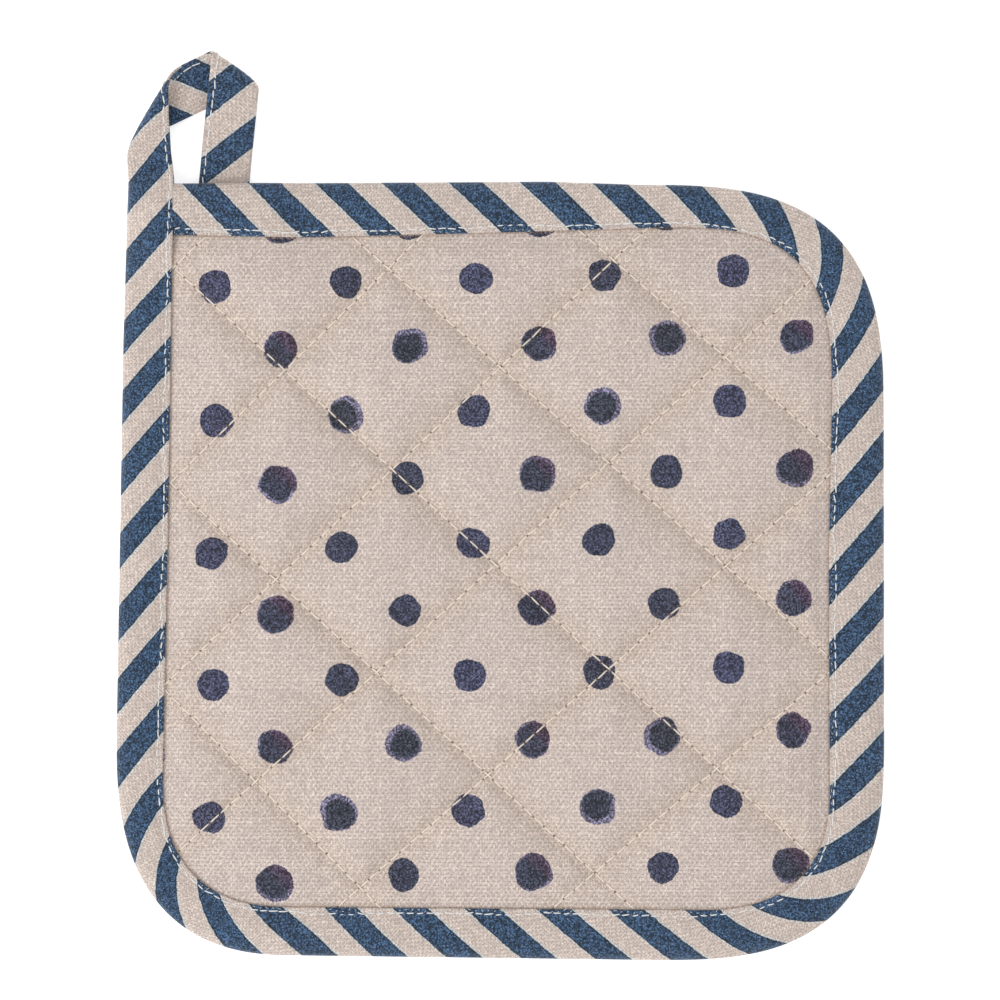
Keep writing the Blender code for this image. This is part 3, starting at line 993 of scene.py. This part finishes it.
def woven_threads():
    """Plain weave on a flat vector in millimetres: threads both ways, over and under in turn.

    Each thread is a round ridge along its run, raised where it passes over and sunk where it passes under.
    Height is 0 to 1, Gap is 1 in the holes between four threads and faint between level threads, Thread is a
    shade for each one, Over is 1 where an upright thread is on top and -1 where it is under, and Speck is a
    shade for each cell of the grain, which has this many cells to a thread each way.
    """
    nodes, given, out = new_group(
        "woven_threads",
        {"Vector": NOWHERE, "Pitch": (0.8, 0.8, 1.0), "Unevenness": 0.25, "Grain": (2.0, 2.0, 1.0)},
        ("Height", "Gap", "Thread", "Over", "Speck"),
    )
    place = given["Vector"] / given["Pitch"]
    place = place + (nodes.noise(place, 0.35, out="Color") - HALF) * given["Unevenness"]
    x, y, _ = nodes.split(place)
    ridges, waves, shades = [], [], []
    for across, run, seed in ((x, y, 7.0), (y, x, 3.0)):
        number = nodes.maths("FLOOR", across)
        share = nodes.maths("FRACT", across) - 0.5
        ridges.append(1.0 - share * share * THREAD_ROUNDNESS)
        waves.append(nodes.maths("COSINE", (run + number) * math.pi))
        shades.append(nodes.white(nodes.joined(number, seed, 1.0)))
    over_x, over_y = (
        nodes.maths("MULTIPLY_ADD", wave, rise, ridge * (1.0 - CROSSING_RISE))
        for wave, rise, ridge in zip(waves, (CROSSING_RISE, -CROSSING_RISE), ridges)
    )
    height = nodes.maths("MAXIMUM", over_x, over_y)
    hole = nodes.spread(height, 0.6, 0.15, smooth=True)
    between = nodes.spread(ridges[1], 0.7, 0.1, 0.0, 0.18, smooth=True)
    top = nodes.maths("GREATER_THAN", over_x, over_y)
    nodes.fill(
        out,
        Height=height,
        Gap=nodes.maths("MAXIMUM", hole, between),
        Thread=top * shades[0] + (1.0 - top) * shades[1],
        Over=waves[0] * ridges[0],
        Speck=nodes.white(nodes.maths("FLOOR", place * given["Grain"])),
    )
    return nodes.tree


def yarn_slubs():
    """Uneven yarn, as noise about 0.5: Streaks are long and faint along both thread runs, Mottle is broad."""
    inputs = {"Vector": NOWHERE, "Pitch": (0.8, 0.8, 1.0)}
    nodes, given, out = new_group("yarn_slubs", inputs, ("Streaks", "Mottle"))
    place = given["Vector"] / given["Pitch"]
    level, upright = (nodes.noise(place * long, 1.0, 1.0) for long in ((0.12, 1.0, 1.0), (1.0, 0.12, 1.0)))
    nodes.fill(out, Streaks=(level + upright) * 0.5, Mottle=nodes.noise(given["Vector"], 0.06, 3.0))
    return nodes.tree


def new_material(name, roughness, sheen=0.0):
    """A material with these numbers on its shader's sockets, with its nodes and its shader."""
    material = bpy.data.materials.new(name)
    material.use_nodes = True
    nodes = Nodes(material.node_tree)
    shader = material.node_tree.nodes["Principled BSDF"]
    nodes.fill(
        shader.inputs, Roughness=roughness, Specular_IOR_Level=0.25, Sheen_Weight=sheen, Sheen_Roughness=0.6
    )
    return material, nodes, shader


CANVAS_GRAIN, STRIPED_GRAIN = table(
    "cells holes over speck paint_speck depth",
    ((1.9, 2.8, 1.0), 0.58, 0.12, 0.16, 0.72, 0.16),
    ((2.1, 1.9, 1.0), 0.65, 0.12, 0.17, 0.74, 0.14),
)


def cloth_finish(nodes, shader, plane, pitch, colour, grain, painted):
    """Darkens the colour in the weave's holes and along its threads, flecks it, more where it is painted,
    and raises the weave. A fleck is 3 times the speck squared, less 1: its mean is 0, and few are bright."""
    weave = nodes.group(woven_threads, Vector=plane, Pitch=pitch, Unevenness=0.2, Grain=grain.cells)
    slubs = nodes.group(yarn_slubs, Vector=plane, Pitch=pitch)
    holes = nodes.spread(weave["Gap"], 0.0, 1.0, 1.0, 1.0 - grain.holes)
    thread = nodes.spread(weave["Thread"], 0.0, 1.0, 0.95, 1.05)
    streak = nodes.spread(slubs["Streaks"], 0.25, 0.75, 0.93, 1.06)
    mottle = nodes.spread(slubs["Mottle"], 0.3, 0.7, 0.975, 1.02)
    over = nodes.maths("MULTIPLY_ADD", weave["Over"], grain.over, 1.0)
    fleck = nodes.maths("MULTIPLY_ADD", nodes.maths("POWER", weave["Speck"], 2.0), 3.0, -1.0)
    speck = nodes.spread(painted, 0.0, 1.0, grain.speck, grain.paint_speck)
    flecks = nodes.maths("MULTIPLY_ADD", fleck, speck, 1.0)
    total = (holes * thread) * (streak * mottle) * over * flecks
    nodes.fill(shader.inputs, Base_Color=nodes.shaded(colour, total))
    nodes.emboss(shader, weave["Height"], 0.6, grain.depth)


# The kinds of painted dot: ring is the width of the pale rim, blush how purple one side is and pale its share
# of violet. The chart has four columns and three rows of dots, and repeats.
DotKind = namedtuple("DotKind", "radius ring blush pale")
DOT_KINDS = {
    "violet": DotKind(4.3, 0.0, 0.0, 1.0),
    "slate": DotKind(4.25, 0.0, 0.0, 0.3),
    "ringed": DotKind(4.8, 1.0, 0.1, 0.3),
    "purple": DotKind(4.7, 0.3, 0.9, 0.2),
    "large": DotKind(5.0, 0.6, 0.8, 0.2),
}
DOT_CHART = (
    ("violet", "purple", "slate", "ringed"),
    ("violet", "large", "ringed", "slate"),
    ("violet", "purple", "slate", "slate"),
)
DOT_ORIGIN = Point(-6.8, 59.2)
DOT_DOWN_LEFT = Point(-17.0, -17.8)
DOT_DOWN_RIGHT = Point(16.6, -16.7)
# The whole range over which noise moves a dot, and over which it bends its edge.
DOT_STRAY = (0.9, 0.9, 0.0)
DOT_WOBBLE = (2.2, 2.2, 0.0)
BLUSH_SIDE = (0.72, 0.69, 0.0)
DOT_RANGE = 6.0


def charted(nodes, kind, *columns):
    """Reads the named columns of the dots' kinds at a place on the chart, as the steps of a colour ramp.
    Values are stored as shares of DOT_RANGE, so that they stay from 0 to 1."""
    names = [name for row in DOT_CHART for name in row]
    read = nodes.add("ValToRGB", (kind + 0.5) / len(names))
    ramp = read.socket.node.color_ramp
    ramp.interpolation = "CONSTANT"
    while len(ramp.elements) < len(names):
        ramp.elements.new(1.0)
    for number, name in enumerate(names):
        values = [getattr(DOT_KINDS[name], column) / DOT_RANGE for column in columns]
        ramp.elements[number].position = number / len(names)
        ramp.elements[number].color = (*values, 1.0)
    return nodes.split(read * DOT_RANGE)


def dotted_print(nodes, plane, colours):
    """The printed dots: each point finds its nearest place on a slanted lattice, and the chart says what the
    dot there is like. The edge is ragged by noise, the paint is thin in a rim that is wider on one side, and
    a blush lies to the upper right. Gives the dot's colour and how much of it covers the cloth."""
    away = plane - (DOT_ORIGIN.x - DRAWING_MIDDLE[0], DOT_ORIGIN.y - DRAWING_MIDDLE[1], 0.0)
    (left_x, left_y), (right_x, right_y) = DOT_DOWN_LEFT, DOT_DOWN_RIGHT
    turn = left_x * right_y - left_y * right_x
    left = nodes.maths("ROUND", nodes.maths("DOT_PRODUCT", away, (right_y / turn, -right_x / turn, 0.0)))
    right = nodes.maths("ROUND", nodes.maths("DOT_PRODUCT", away, (-left_y / turn, left_x / turn, 0.0)))
    columns, rows = len(DOT_CHART[0]), len(DOT_CHART)
    column = nodes.maths("FLOORED_MODULO", right - left, columns)
    row = nodes.maths("FLOORED_MODULO", nodes.maths("FLOOR", (right + left) / 2.0), rows)
    kind = nodes.maths("MULTIPLY_ADD", row, columns, column)
    radius, ring, purple = charted(nodes, kind, "radius", "ring", "blush")
    pale, _, _ = charted(nodes, kind, "pale", "pale", "pale")
    stray = nodes.white(nodes.joined(left, right, 2.0), "Color") - HALF
    middle = (*DOT_DOWN_LEFT, 0.0) * left + (*DOT_DOWN_RIGHT, 0.0) * right + stray * DOT_STRAY
    bent = away - middle + (nodes.noise(plane, 0.17, 1.0, out="Color") - HALF) * DOT_WOBBLE
    ragged = (nodes.noise(plane, 1.4) - 0.5) * 0.6
    rim = radius + ragged - nodes.maths("LENGTH", bent)
    cover = nodes.spread(rim, -0.08, 0.14, smooth=True)
    side = nodes.maths("DOT_PRODUCT", bent, stray * 2.2) / radius
    width = ring * nodes.spread(side, -0.7, 0.8, 0.2, 1.7)
    thin = nodes.spread(rim - width, -0.3, 0.5, 1.0, 0.0, smooth=True) * nodes.spread(ring, 0.0, 0.3)
    body = nodes.mix(pale, colours.dot_slate, colours.dot_violet)
    body = nodes.mix(nodes.spread(ring, 0.2, 1.0, 0.0, 0.9), body, colours.dot_core)
    lean = nodes.maths("DOT_PRODUCT", bent, BLUSH_SIDE) / radius
    blush = nodes.spread(lean, 0.0, 0.75, smooth=True) * nodes.spread(purple, 0.3, 1.0, 0.0, 0.9)
    colour = nodes.mix(blush, nodes.mix(thin, body, colours.dot_rim), colours.dot_purple)
    speckle = nodes.spread(nodes.noise(plane, 2.4, 2.0, 0.7), 0.3, 0.7, 0.84, 1.14)
    return nodes.shaded(colour, speckle), cover


def needle_marks(nodes, pitch):
    """Painted shade at the seams: dark needle holes at even marks along every seam, a faint darker line in
    the seam's groove between them, and a broad warm band in the valleys beside.

    The seams' maps give each point its distance along a seam and its place among the seams, so a hole is a
    small round where both are near a whole number.
    """
    holes, line, beside = 0.0, 0.0, 0.0
    for name in ("falling_seams", "rising_seams"):
        run, place, _ = nodes.split(nodes.add("UVMap", uv_map=name))
        gap = nodes.maths("PINGPONG", place, 0.5) * SEAM_SPACING
        mark = (run + STEPS_ON * pitch) / pitch
        reach = nodes.maths("LENGTH", nodes.joined(gap, nodes.maths("PINGPONG", mark, 0.5) * pitch))
        number = nodes.joined(nodes.maths("ROUND", mark), nodes.maths("ROUND", place), 4.0)
        strength = nodes.spread(nodes.white(number), 0.0, 0.6, 0.4, 1.0)
        holes = nodes.maths("MAXIMUM", holes, nodes.spread(reach, 0.4, 0.18, smooth=True) * strength)
        line = nodes.maths("MAXIMUM", line, nodes.spread(gap, 0.75, 0.1, smooth=True))
        beside = nodes.maths("MAXIMUM", beside, nodes.spread(gap, 9.0, 0.5, smooth=True))
    return holes, line, beside


# The print is drawn together by this much over this depth from the lip, where it is further up than this.
PRINT_TUCK, PRINT_TUCK_DEPTH, PRINT_TUCK_FROM = 2.6, 5.0, 60.0


def canvas_material(sizes, colours):
    """Natural canvas with the dotted print on its face, and plain on the back. By the top binding the cloth
    turns down, so the print is drawn together there."""
    material, nodes, shader = new_material("dotted_canvas", 0.88, 0.15)
    plane = nodes.add("TexCoord", out="Object") * FLAT_MM
    face, depth, _ = nodes.split(nodes.add("UVMap", uv_map="printed_side"))
    depth = depth * LIP_REACH
    sunk = nodes.spread(depth, PRINT_TUCK_DEPTH, 0.0, 0.0, PRINT_TUCK, smooth=True)
    at_top = nodes.maths("GREATER_THAN", nodes.split(plane)[1], PRINT_TUCK_FROM)
    paint, cover = dotted_print(nodes, plane + nodes.joined(0.0, sunk * at_top), colours)
    painted = cover * face
    colour = nodes.mix(painted * 0.97, colours.canvas, paint)
    holes, line, beside = needle_marks(nodes, sizes.quilt_pitch / MM)
    # Painted shade: a warm tint that darkens the valleys beside each seam.
    colour = nodes.mix(beside, colour, colours.seam_tint, "MULTIPLY")
    # Painted shadow under the binding's lip and painted shade along each seam's groove, both in one warm dark
    # colour.
    lip = nodes.spread(depth, 0.9, 0.2, 0.0, 0.35, smooth=True)
    colour = nodes.mix(nodes.maths("MAXIMUM", line * 0.12, lip), colour, colours.seam_line)
    # Painted shade inside the needle holes.
    colour = nodes.mix(holes * 0.85, colour, colours.needle_hole)
    pitch = (sizes.canvas_warp / MM, sizes.canvas_weft / MM, 1.0)
    cloth_finish(nodes, shader, plane, pitch, colour, CANVAS_GRAIN, painted)
    return material


def striped_material(sizes, colours):
    """Striped cloth on the strip's own map: x runs square to the stripes and y along them."""
    material, nodes, shader = new_material("striped_cloth", 0.85, 0.15)
    plane = nodes.add("UVMap", uv_map="cloth") * FLAT_MM
    square = nodes.split(plane)[0] + (nodes.noise(plane, 0.5) - 0.5) * 0.5
    share = nodes.maths("FRACT", (square + STEPS_ON * STRIPE_PITCH) / STRIPE_PITCH)
    from_middle = nodes.maths("PINGPONG", share, 0.5) * STRIPE_PITCH
    half = sizes.stripe_width / MM / 2
    cover = nodes.spread(from_middle, half + 0.1, half - 0.1)
    side = nodes.spread(nodes.maths("LESS_THAN", share, 0.5), 0.0, 1.0, 0.8, 0.5)
    fringe = nodes.maths("COMPARE", from_middle, half + 0.22, 0.16) * side
    selvage = nodes.maths("COMPARE", from_middle, half - 0.2, 0.17) * 0.75
    fleck = nodes.spread(nodes.noise(plane, 2.6), 0.3, 0.7, 0.35, 1.0)
    blue = nodes.mix(selvage, nodes.mix(fleck, colours.stripe_dark, colours.stripe), colours.stripe_edge)
    cloth = nodes.mix(fringe, colours.stripe_ground, colours.fringe)
    pitch = (sizes.stripe_weave / MM, sizes.stripe_weave / MM, 1.0)
    cloth_finish(nodes, shader, plane, pitch, nodes.mix(cover, cloth, blue), STRIPED_GRAIN, cover)
    return material


def thread_material(name, colour):
    """Sewing thread: a pale colour with a faint uneven shade and a fine twist."""
    material, nodes, shader = new_material(name, 0.7, 0.2)
    place = nodes.add("TexCoord", out="Object") * SOLID_MM
    streaks = nodes.group(yarn_slubs, Vector=place, Pitch=(0.5, 0.5, 1.0))["Streaks"]
    shade = nodes.spread(streaks, 0.25, 0.75, 0.86, 1.06)
    nodes.fill(shader.inputs, Base_Color=nodes.shaded(colour, shade))
    nodes.emboss(shader, nodes.noise(place, 6.0, 1.0), 0.4, 0.08)
    return material


def floor_material():
    """Pale matt surface with a barely visible mottle and a faint glow, which keeps its shadows light."""
    material, nodes, shader = new_material("pale_floor", 0.9)
    place = nodes.add("TexCoord", out="Object")
    shade = nodes.spread(nodes.noise(place, 3.0), 0.3, 0.7, 0.93, 0.95)
    grey = nodes.joined(shade, shade, shade)
    nodes.fill(shader.inputs, Base_Color=grey, Emission_Color=WHITE, Emission_Strength=0.5)
    return material


# ---- settings


def length_setting(name, description, default):
    """A length in metres."""
    return FloatProperty(
        name=name, description=description, default=default, unit="LENGTH", subtype="DISTANCE"
    )


def colour_setting(name, description, default):
    """A colour, as linear red, green and blue."""
    return FloatVectorProperty(
        name=name, description=description, default=default, size=3, subtype="COLOR", min=0.0, max=1.0
    )


class PotHolderSizes(bpy.types.PropertyGroup):
    """Sizes of the cloth and its sewing."""

    crown_height: length_setting("Crown height", "Height of a diamond's middle over the surface", 0.0088)
    seam_height: length_setting("Seam height", "Height of the face along a quilted seam", 0.0053)
    quilt_pitch: length_setting("Quilting pitch", "From one quilting stitch to the next", 0.0036)
    quilt_stitch: length_setting(
        "Quilting stitch", "Length of thread that shows in a quilting stitch", 0.0034
    )
    quilt_thread: length_setting("Quilting thread", "Radius of the quilting thread", 0.00021)
    strip_thread: length_setting("Binding thread", "Radius of the thread along the binding", 0.00018)
    canvas_warp: length_setting("Canvas warp", "From one upright canvas thread to the next", 0.00067)
    canvas_weft: length_setting("Canvas weft", "From one level canvas thread to the next", 0.001)
    stripe_weave: length_setting(
        "Striped cloth pitch", "From one thread of the striped cloth to the next", 0.0007
    )
    stripe_width: length_setting("Stripe width", "Width of a blue stripe square to itself", 0.00598)


class PotHolderColours(bpy.types.PropertyGroup):
    """Colours of the cloth, the print, the thread, and the painted shade at seams, needle holes and lip."""

    canvas: colour_setting("Canvas", "Natural canvas", (0.598, 0.508, 0.462))
    # Painted shade: the warm dark in the seams' grooves and the shadow under the binding's lip.
    seam_line: colour_setting("Seam line", "Cloth beside the quilting thread", (0.46, 0.32, 0.23))
    # Painted shade: a warm tint in the shaded valleys beside the seams.
    seam_tint: colour_setting("Seam tint", "Multiplies the cloth's colour beside a seam", (1.0, 0.975, 0.935))
    # Painted shade inside a needle hole.
    needle_hole: colour_setting("Needle hole", "Inside of a needle hole", (0.13, 0.085, 0.06))
    dot_slate: colour_setting("Slate dot", "Blue-grey paint", (0.029, 0.037, 0.071))
    dot_violet: colour_setting("Violet dot", "Violet-grey paint", (0.0465, 0.053, 0.111))
    dot_core: colour_setting("Dot core", "Pooled dark paint", (0.0225, 0.031, 0.0525))
    dot_rim: colour_setting("Dot rim", "Thin paint round a dot", (0.165, 0.152, 0.24))
    dot_purple: colour_setting("Dot blush", "Purple at one side of a dot", (0.078, 0.036, 0.078))
    stripe: colour_setting("Stripe", "Blue of the stripes", (0.045, 0.088, 0.161))
    stripe_dark: colour_setting("Stripe flecks", "Darker flecks in the blue", (0.018, 0.039, 0.080))
    stripe_edge: colour_setting(
        "Stripe edge", "Dark thread just inside a stripe's edge", (0.014, 0.026, 0.046)
    )
    stripe_ground: colour_setting("Stripe ground", "Natural cloth between the stripes", (0.585, 0.495, 0.444))
    fringe: colour_setting("Stripe fringe", "Pale edge on both sides of a stripe", (0.50, 0.58, 0.60))
    quilt_thread: colour_setting("Quilting thread", "Cream quilting thread", (0.86, 0.78, 0.67))
    strip_thread: colour_setting("Binding thread", "Off-white thread along the binding", (0.80, 0.80, 0.79))


class PotHolderStage(bpy.types.PropertyGroup):
    """The camera and the light."""

    view_width: length_setting("View width", "Width of the view at the height of the pad's face", 0.26)
    lens: FloatProperty(name="Lens", description="Focal length of the camera", default=180.0, unit="CAMERA")
    key_strength: FloatProperty(
        name="Main light", description="Power of the light at the lower left", default=9.0, unit="POWER"
    )
    sky: FloatProperty(
        name="Surround", description="Strength of the even light all round", default=0.78, min=0.0
    )
    floor_steps: IntProperty(
        name="Floor steps", description="Squares along each side of the floor", default=4
    )


# ---- operators


class POTHOLDER_OT_add_pad(bpy.types.Operator):
    """Add the quilted pad, its face swollen between the seams"""

    bl_idname = "potholder.add_pad"
    bl_label = "Quilted pad"

    def execute(self, context):
        scene = context.scene
        Quilting.prepare()
        points, faces = pad_surface(scene.pot_holder_sizes)
        flat = points[:, :2]
        on_front = np.arange(len(points)) < (PAD_STEPS + 1) ** 2
        maps = {
            "falling_seams": seam_map(FALLING_SEAMS, flat),
            "rising_seams": seam_map(RISING_SEAMS, flat),
            "printed_side": np.stack([on_front, np.clip(lip_depth(flat), 0, LIP_REACH) / LIP_REACH], axis=1),
        }
        material = canvas_material(scene.pot_holder_sizes, scene.pot_holder_colours)
        pad = make_piece("padded_square", points, faces, material, maps)
        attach(pad, "root")
        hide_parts("quilted_pad")
        return {"FINISHED"}


class POTHOLDER_OT_add_strip(bpy.types.Operator):
    """Add the striped strip that binds the pad and runs on as its loop"""

    bl_idname = "potholder.add_strip"
    bl_label = "Binding and loop"

    def execute(self, context):
        scene = context.scene
        points, cloth, _ = strip_surface()
        rows, columns = points.shape[:2]
        edge = 2 * SECTION_STEPS
        facing = 2 * edge + len(LIP_TURN) + 1
        near = np.arange(edge)
        cap = np.stack([near, near + 1, facing - near - 1, facing - near], axis=1)
        lips = np.array([[edge, edge + 1, edge + 3, edge + 4], [0, facing, facing + 1, facing + 3]])
        tips = np.array([[edge + 1, edge + 2, edge + 3], [facing + 1, facing + 2, facing + 3]])
        faces = [grid_faces(rows, columns, wrap=True)]
        for part in (cap, lips, tips):
            faces += [part[:, ::-1], part + (rows - 1) * columns]
        material = striped_material(scene.pot_holder_sizes, scene.pot_holder_colours)
        maps = {"cloth": cloth.reshape(-1, 2)}
        strip = make_piece("striped_strip", points.reshape(-1, 3), faces, material, maps)
        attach(strip, "root")
        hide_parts("edge_binding", "hanging_loop")
        return {"FINISHED"}


class POTHOLDER_OT_add_quilting(bpy.types.Operator):
    """Add the stitches of the quilting"""

    bl_idname = "potholder.add_quilting"
    bl_label = "Quilting stitches"

    def execute(self, context):
        sizes, colours = context.scene.pot_holder_sizes, context.scene.pot_holder_colours
        measures = (sizes.quilt_pitch / MM, sizes.quilt_stitch / MM, sizes.quilt_thread / MM)
        points, faces = joined([quilt_stitches(sizes, *measures, front) for front in (True, False)])
        material = thread_material("cream_thread", colours.quilt_thread)
        stitches = make_piece("quilting_stitches", points, faces, material)
        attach(stitches, "root")
        return {"FINISHED"}


class POTHOLDER_OT_add_binding_stitches(bpy.types.Operator):
    """Add the rows of stitches along the binding and the loop"""

    bl_idname = "potholder.add_binding_stitches"
    bl_label = "Binding stitches"

    def execute(self, context):
        sizes, colours = context.scene.pot_holder_sizes, context.scene.pot_holder_colours
        strip, _, section = strip_surface()
        points, faces = strip_stitches(strip, section, sizes.strip_thread / MM)
        material = thread_material("white_thread", colours.strip_thread)
        stitches = make_piece("binding_stitches", points, faces, material)
        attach(stitches, "root")
        return {"FINISHED"}


# The view's centre and the pad's height in millimetres, and the rest of the stage in metres.
VIEW_CENTRE = Point(-0.075, 1.235)
FACE_HEIGHT = 7.5
FLOOR_REACH, FLOOR_HEIGHT = 1.5, -0.0002
LIGHTS = table(
    "name place size share",
    ("main_light", (-1.0, -0.45, 1.0), 0.8, 1.0),
    ("fill_light", (0.8, 0.7, 1.2), 1.0, 0.2),
)


class POTHOLDER_OT_add_stage(bpy.types.Operator):
    """Add the floor, the lights and the camera"""

    bl_idname = "potholder.add_stage"
    bl_label = "Stage"

    def execute(self, context):
        scene = context.scene
        stage = scene.pot_holder_stage
        across = np.linspace(-FLOOR_REACH, FLOOR_REACH, stage.floor_steps + 1)
        x, y = np.meshgrid(across, across)
        points = np.stack([x, y, np.full_like(x, FLOOR_HEIGHT)], axis=-1).reshape(-1, 3)
        floor = new_object("floor", points, grid_faces(len(across), len(across)).tolist())
        floor.data.materials.append(floor_material())
        for light in LIGHTS:
            add_light(light.name, light.place, light.size, stage.key_strength * light.share)
        world = bpy.data.worlds.new("even_surround")
        world.use_nodes = True
        background = world.node_tree.nodes["Background"]
        Nodes(world.node_tree).fill(background.inputs, Color=WHITE, Strength=stage.sky)
        scene.world = world
        scene.view_settings.view_transform = "Standard"
        lens = bpy.data.cameras.new("camera")
        lens.lens = stage.lens
        lens.sensor_width = 36.0
        lens.clip_end = 20.0
        camera = bpy.data.objects.new("camera", lens)
        distance = stage.view_width * stage.lens / lens.sensor_width
        camera.location = (VIEW_CENTRE.x * MM, VIEW_CENTRE.y * MM, FACE_HEIGHT * MM + distance)
        scene.collection.objects.link(camera)
        scene.camera = camera
        return {"FINISHED"}


def add_light(name, place, size, power):
    """A square light turned towards the pad."""
    light = bpy.data.lights.new(name, "AREA")
    light.size, light.energy = size, power
    made = bpy.data.objects.new(name, light)
    made.location = x, y, z = place
    made.rotation_euler = (math.atan2(math.hypot(x, y), z), 0.0, math.atan2(x, -y))
    bpy.context.scene.collection.objects.link(made)


STEPS = (
    POTHOLDER_OT_add_stage,
    POTHOLDER_OT_add_pad,
    POTHOLDER_OT_add_strip,
    POTHOLDER_OT_add_quilting,
    POTHOLDER_OT_add_binding_stitches,
)


class POTHOLDER_PT_panel(bpy.types.Panel):
    """Lists the pieces and their settings"""

    bl_idname = "POTHOLDER_PT_panel"
    bl_label = "Pot Holder"
    bl_space_type = "VIEW_3D"
    bl_region_type = "UI"
    bl_category = "Pot Holder"

    def draw(self, context):
        for settings in SETTINGS:
            group = getattr(context.scene, settings)
            box = self.layout.box()
            for name in group.bl_rna.properties.keys():
                if name not in ("rna_type", "name"):
                    box.prop(group, name)
        for step in STEPS:
            self.layout.operator(step.bl_idname)


SETTINGS = {
    "pot_holder_sizes": PotHolderSizes,
    "pot_holder_colours": PotHolderColours,
    "pot_holder_stage": PotHolderStage,
}
CLASSES = (*SETTINGS.values(), *STEPS, POTHOLDER_PT_panel)


def register():
    for made in CLASSES:
        bpy.utils.register_class(made)
    for name, group in SETTINGS.items():
        setattr(bpy.types.Scene, name, PointerProperty(type=group))


def unregister():
    for name in SETTINGS:
        delattr(bpy.types.Scene, name)
    for made in reversed(CLASSES):
        bpy.utils.unregister_class(made)


def main():
    register()
    bpy.ops.potholder.add_stage()
    bpy.ops.potholder.add_pad()
    bpy.ops.potholder.add_strip()
    bpy.ops.potholder.add_quilting()
    bpy.ops.potholder.add_binding_stitches()


if __name__ == "__main__":
    main()
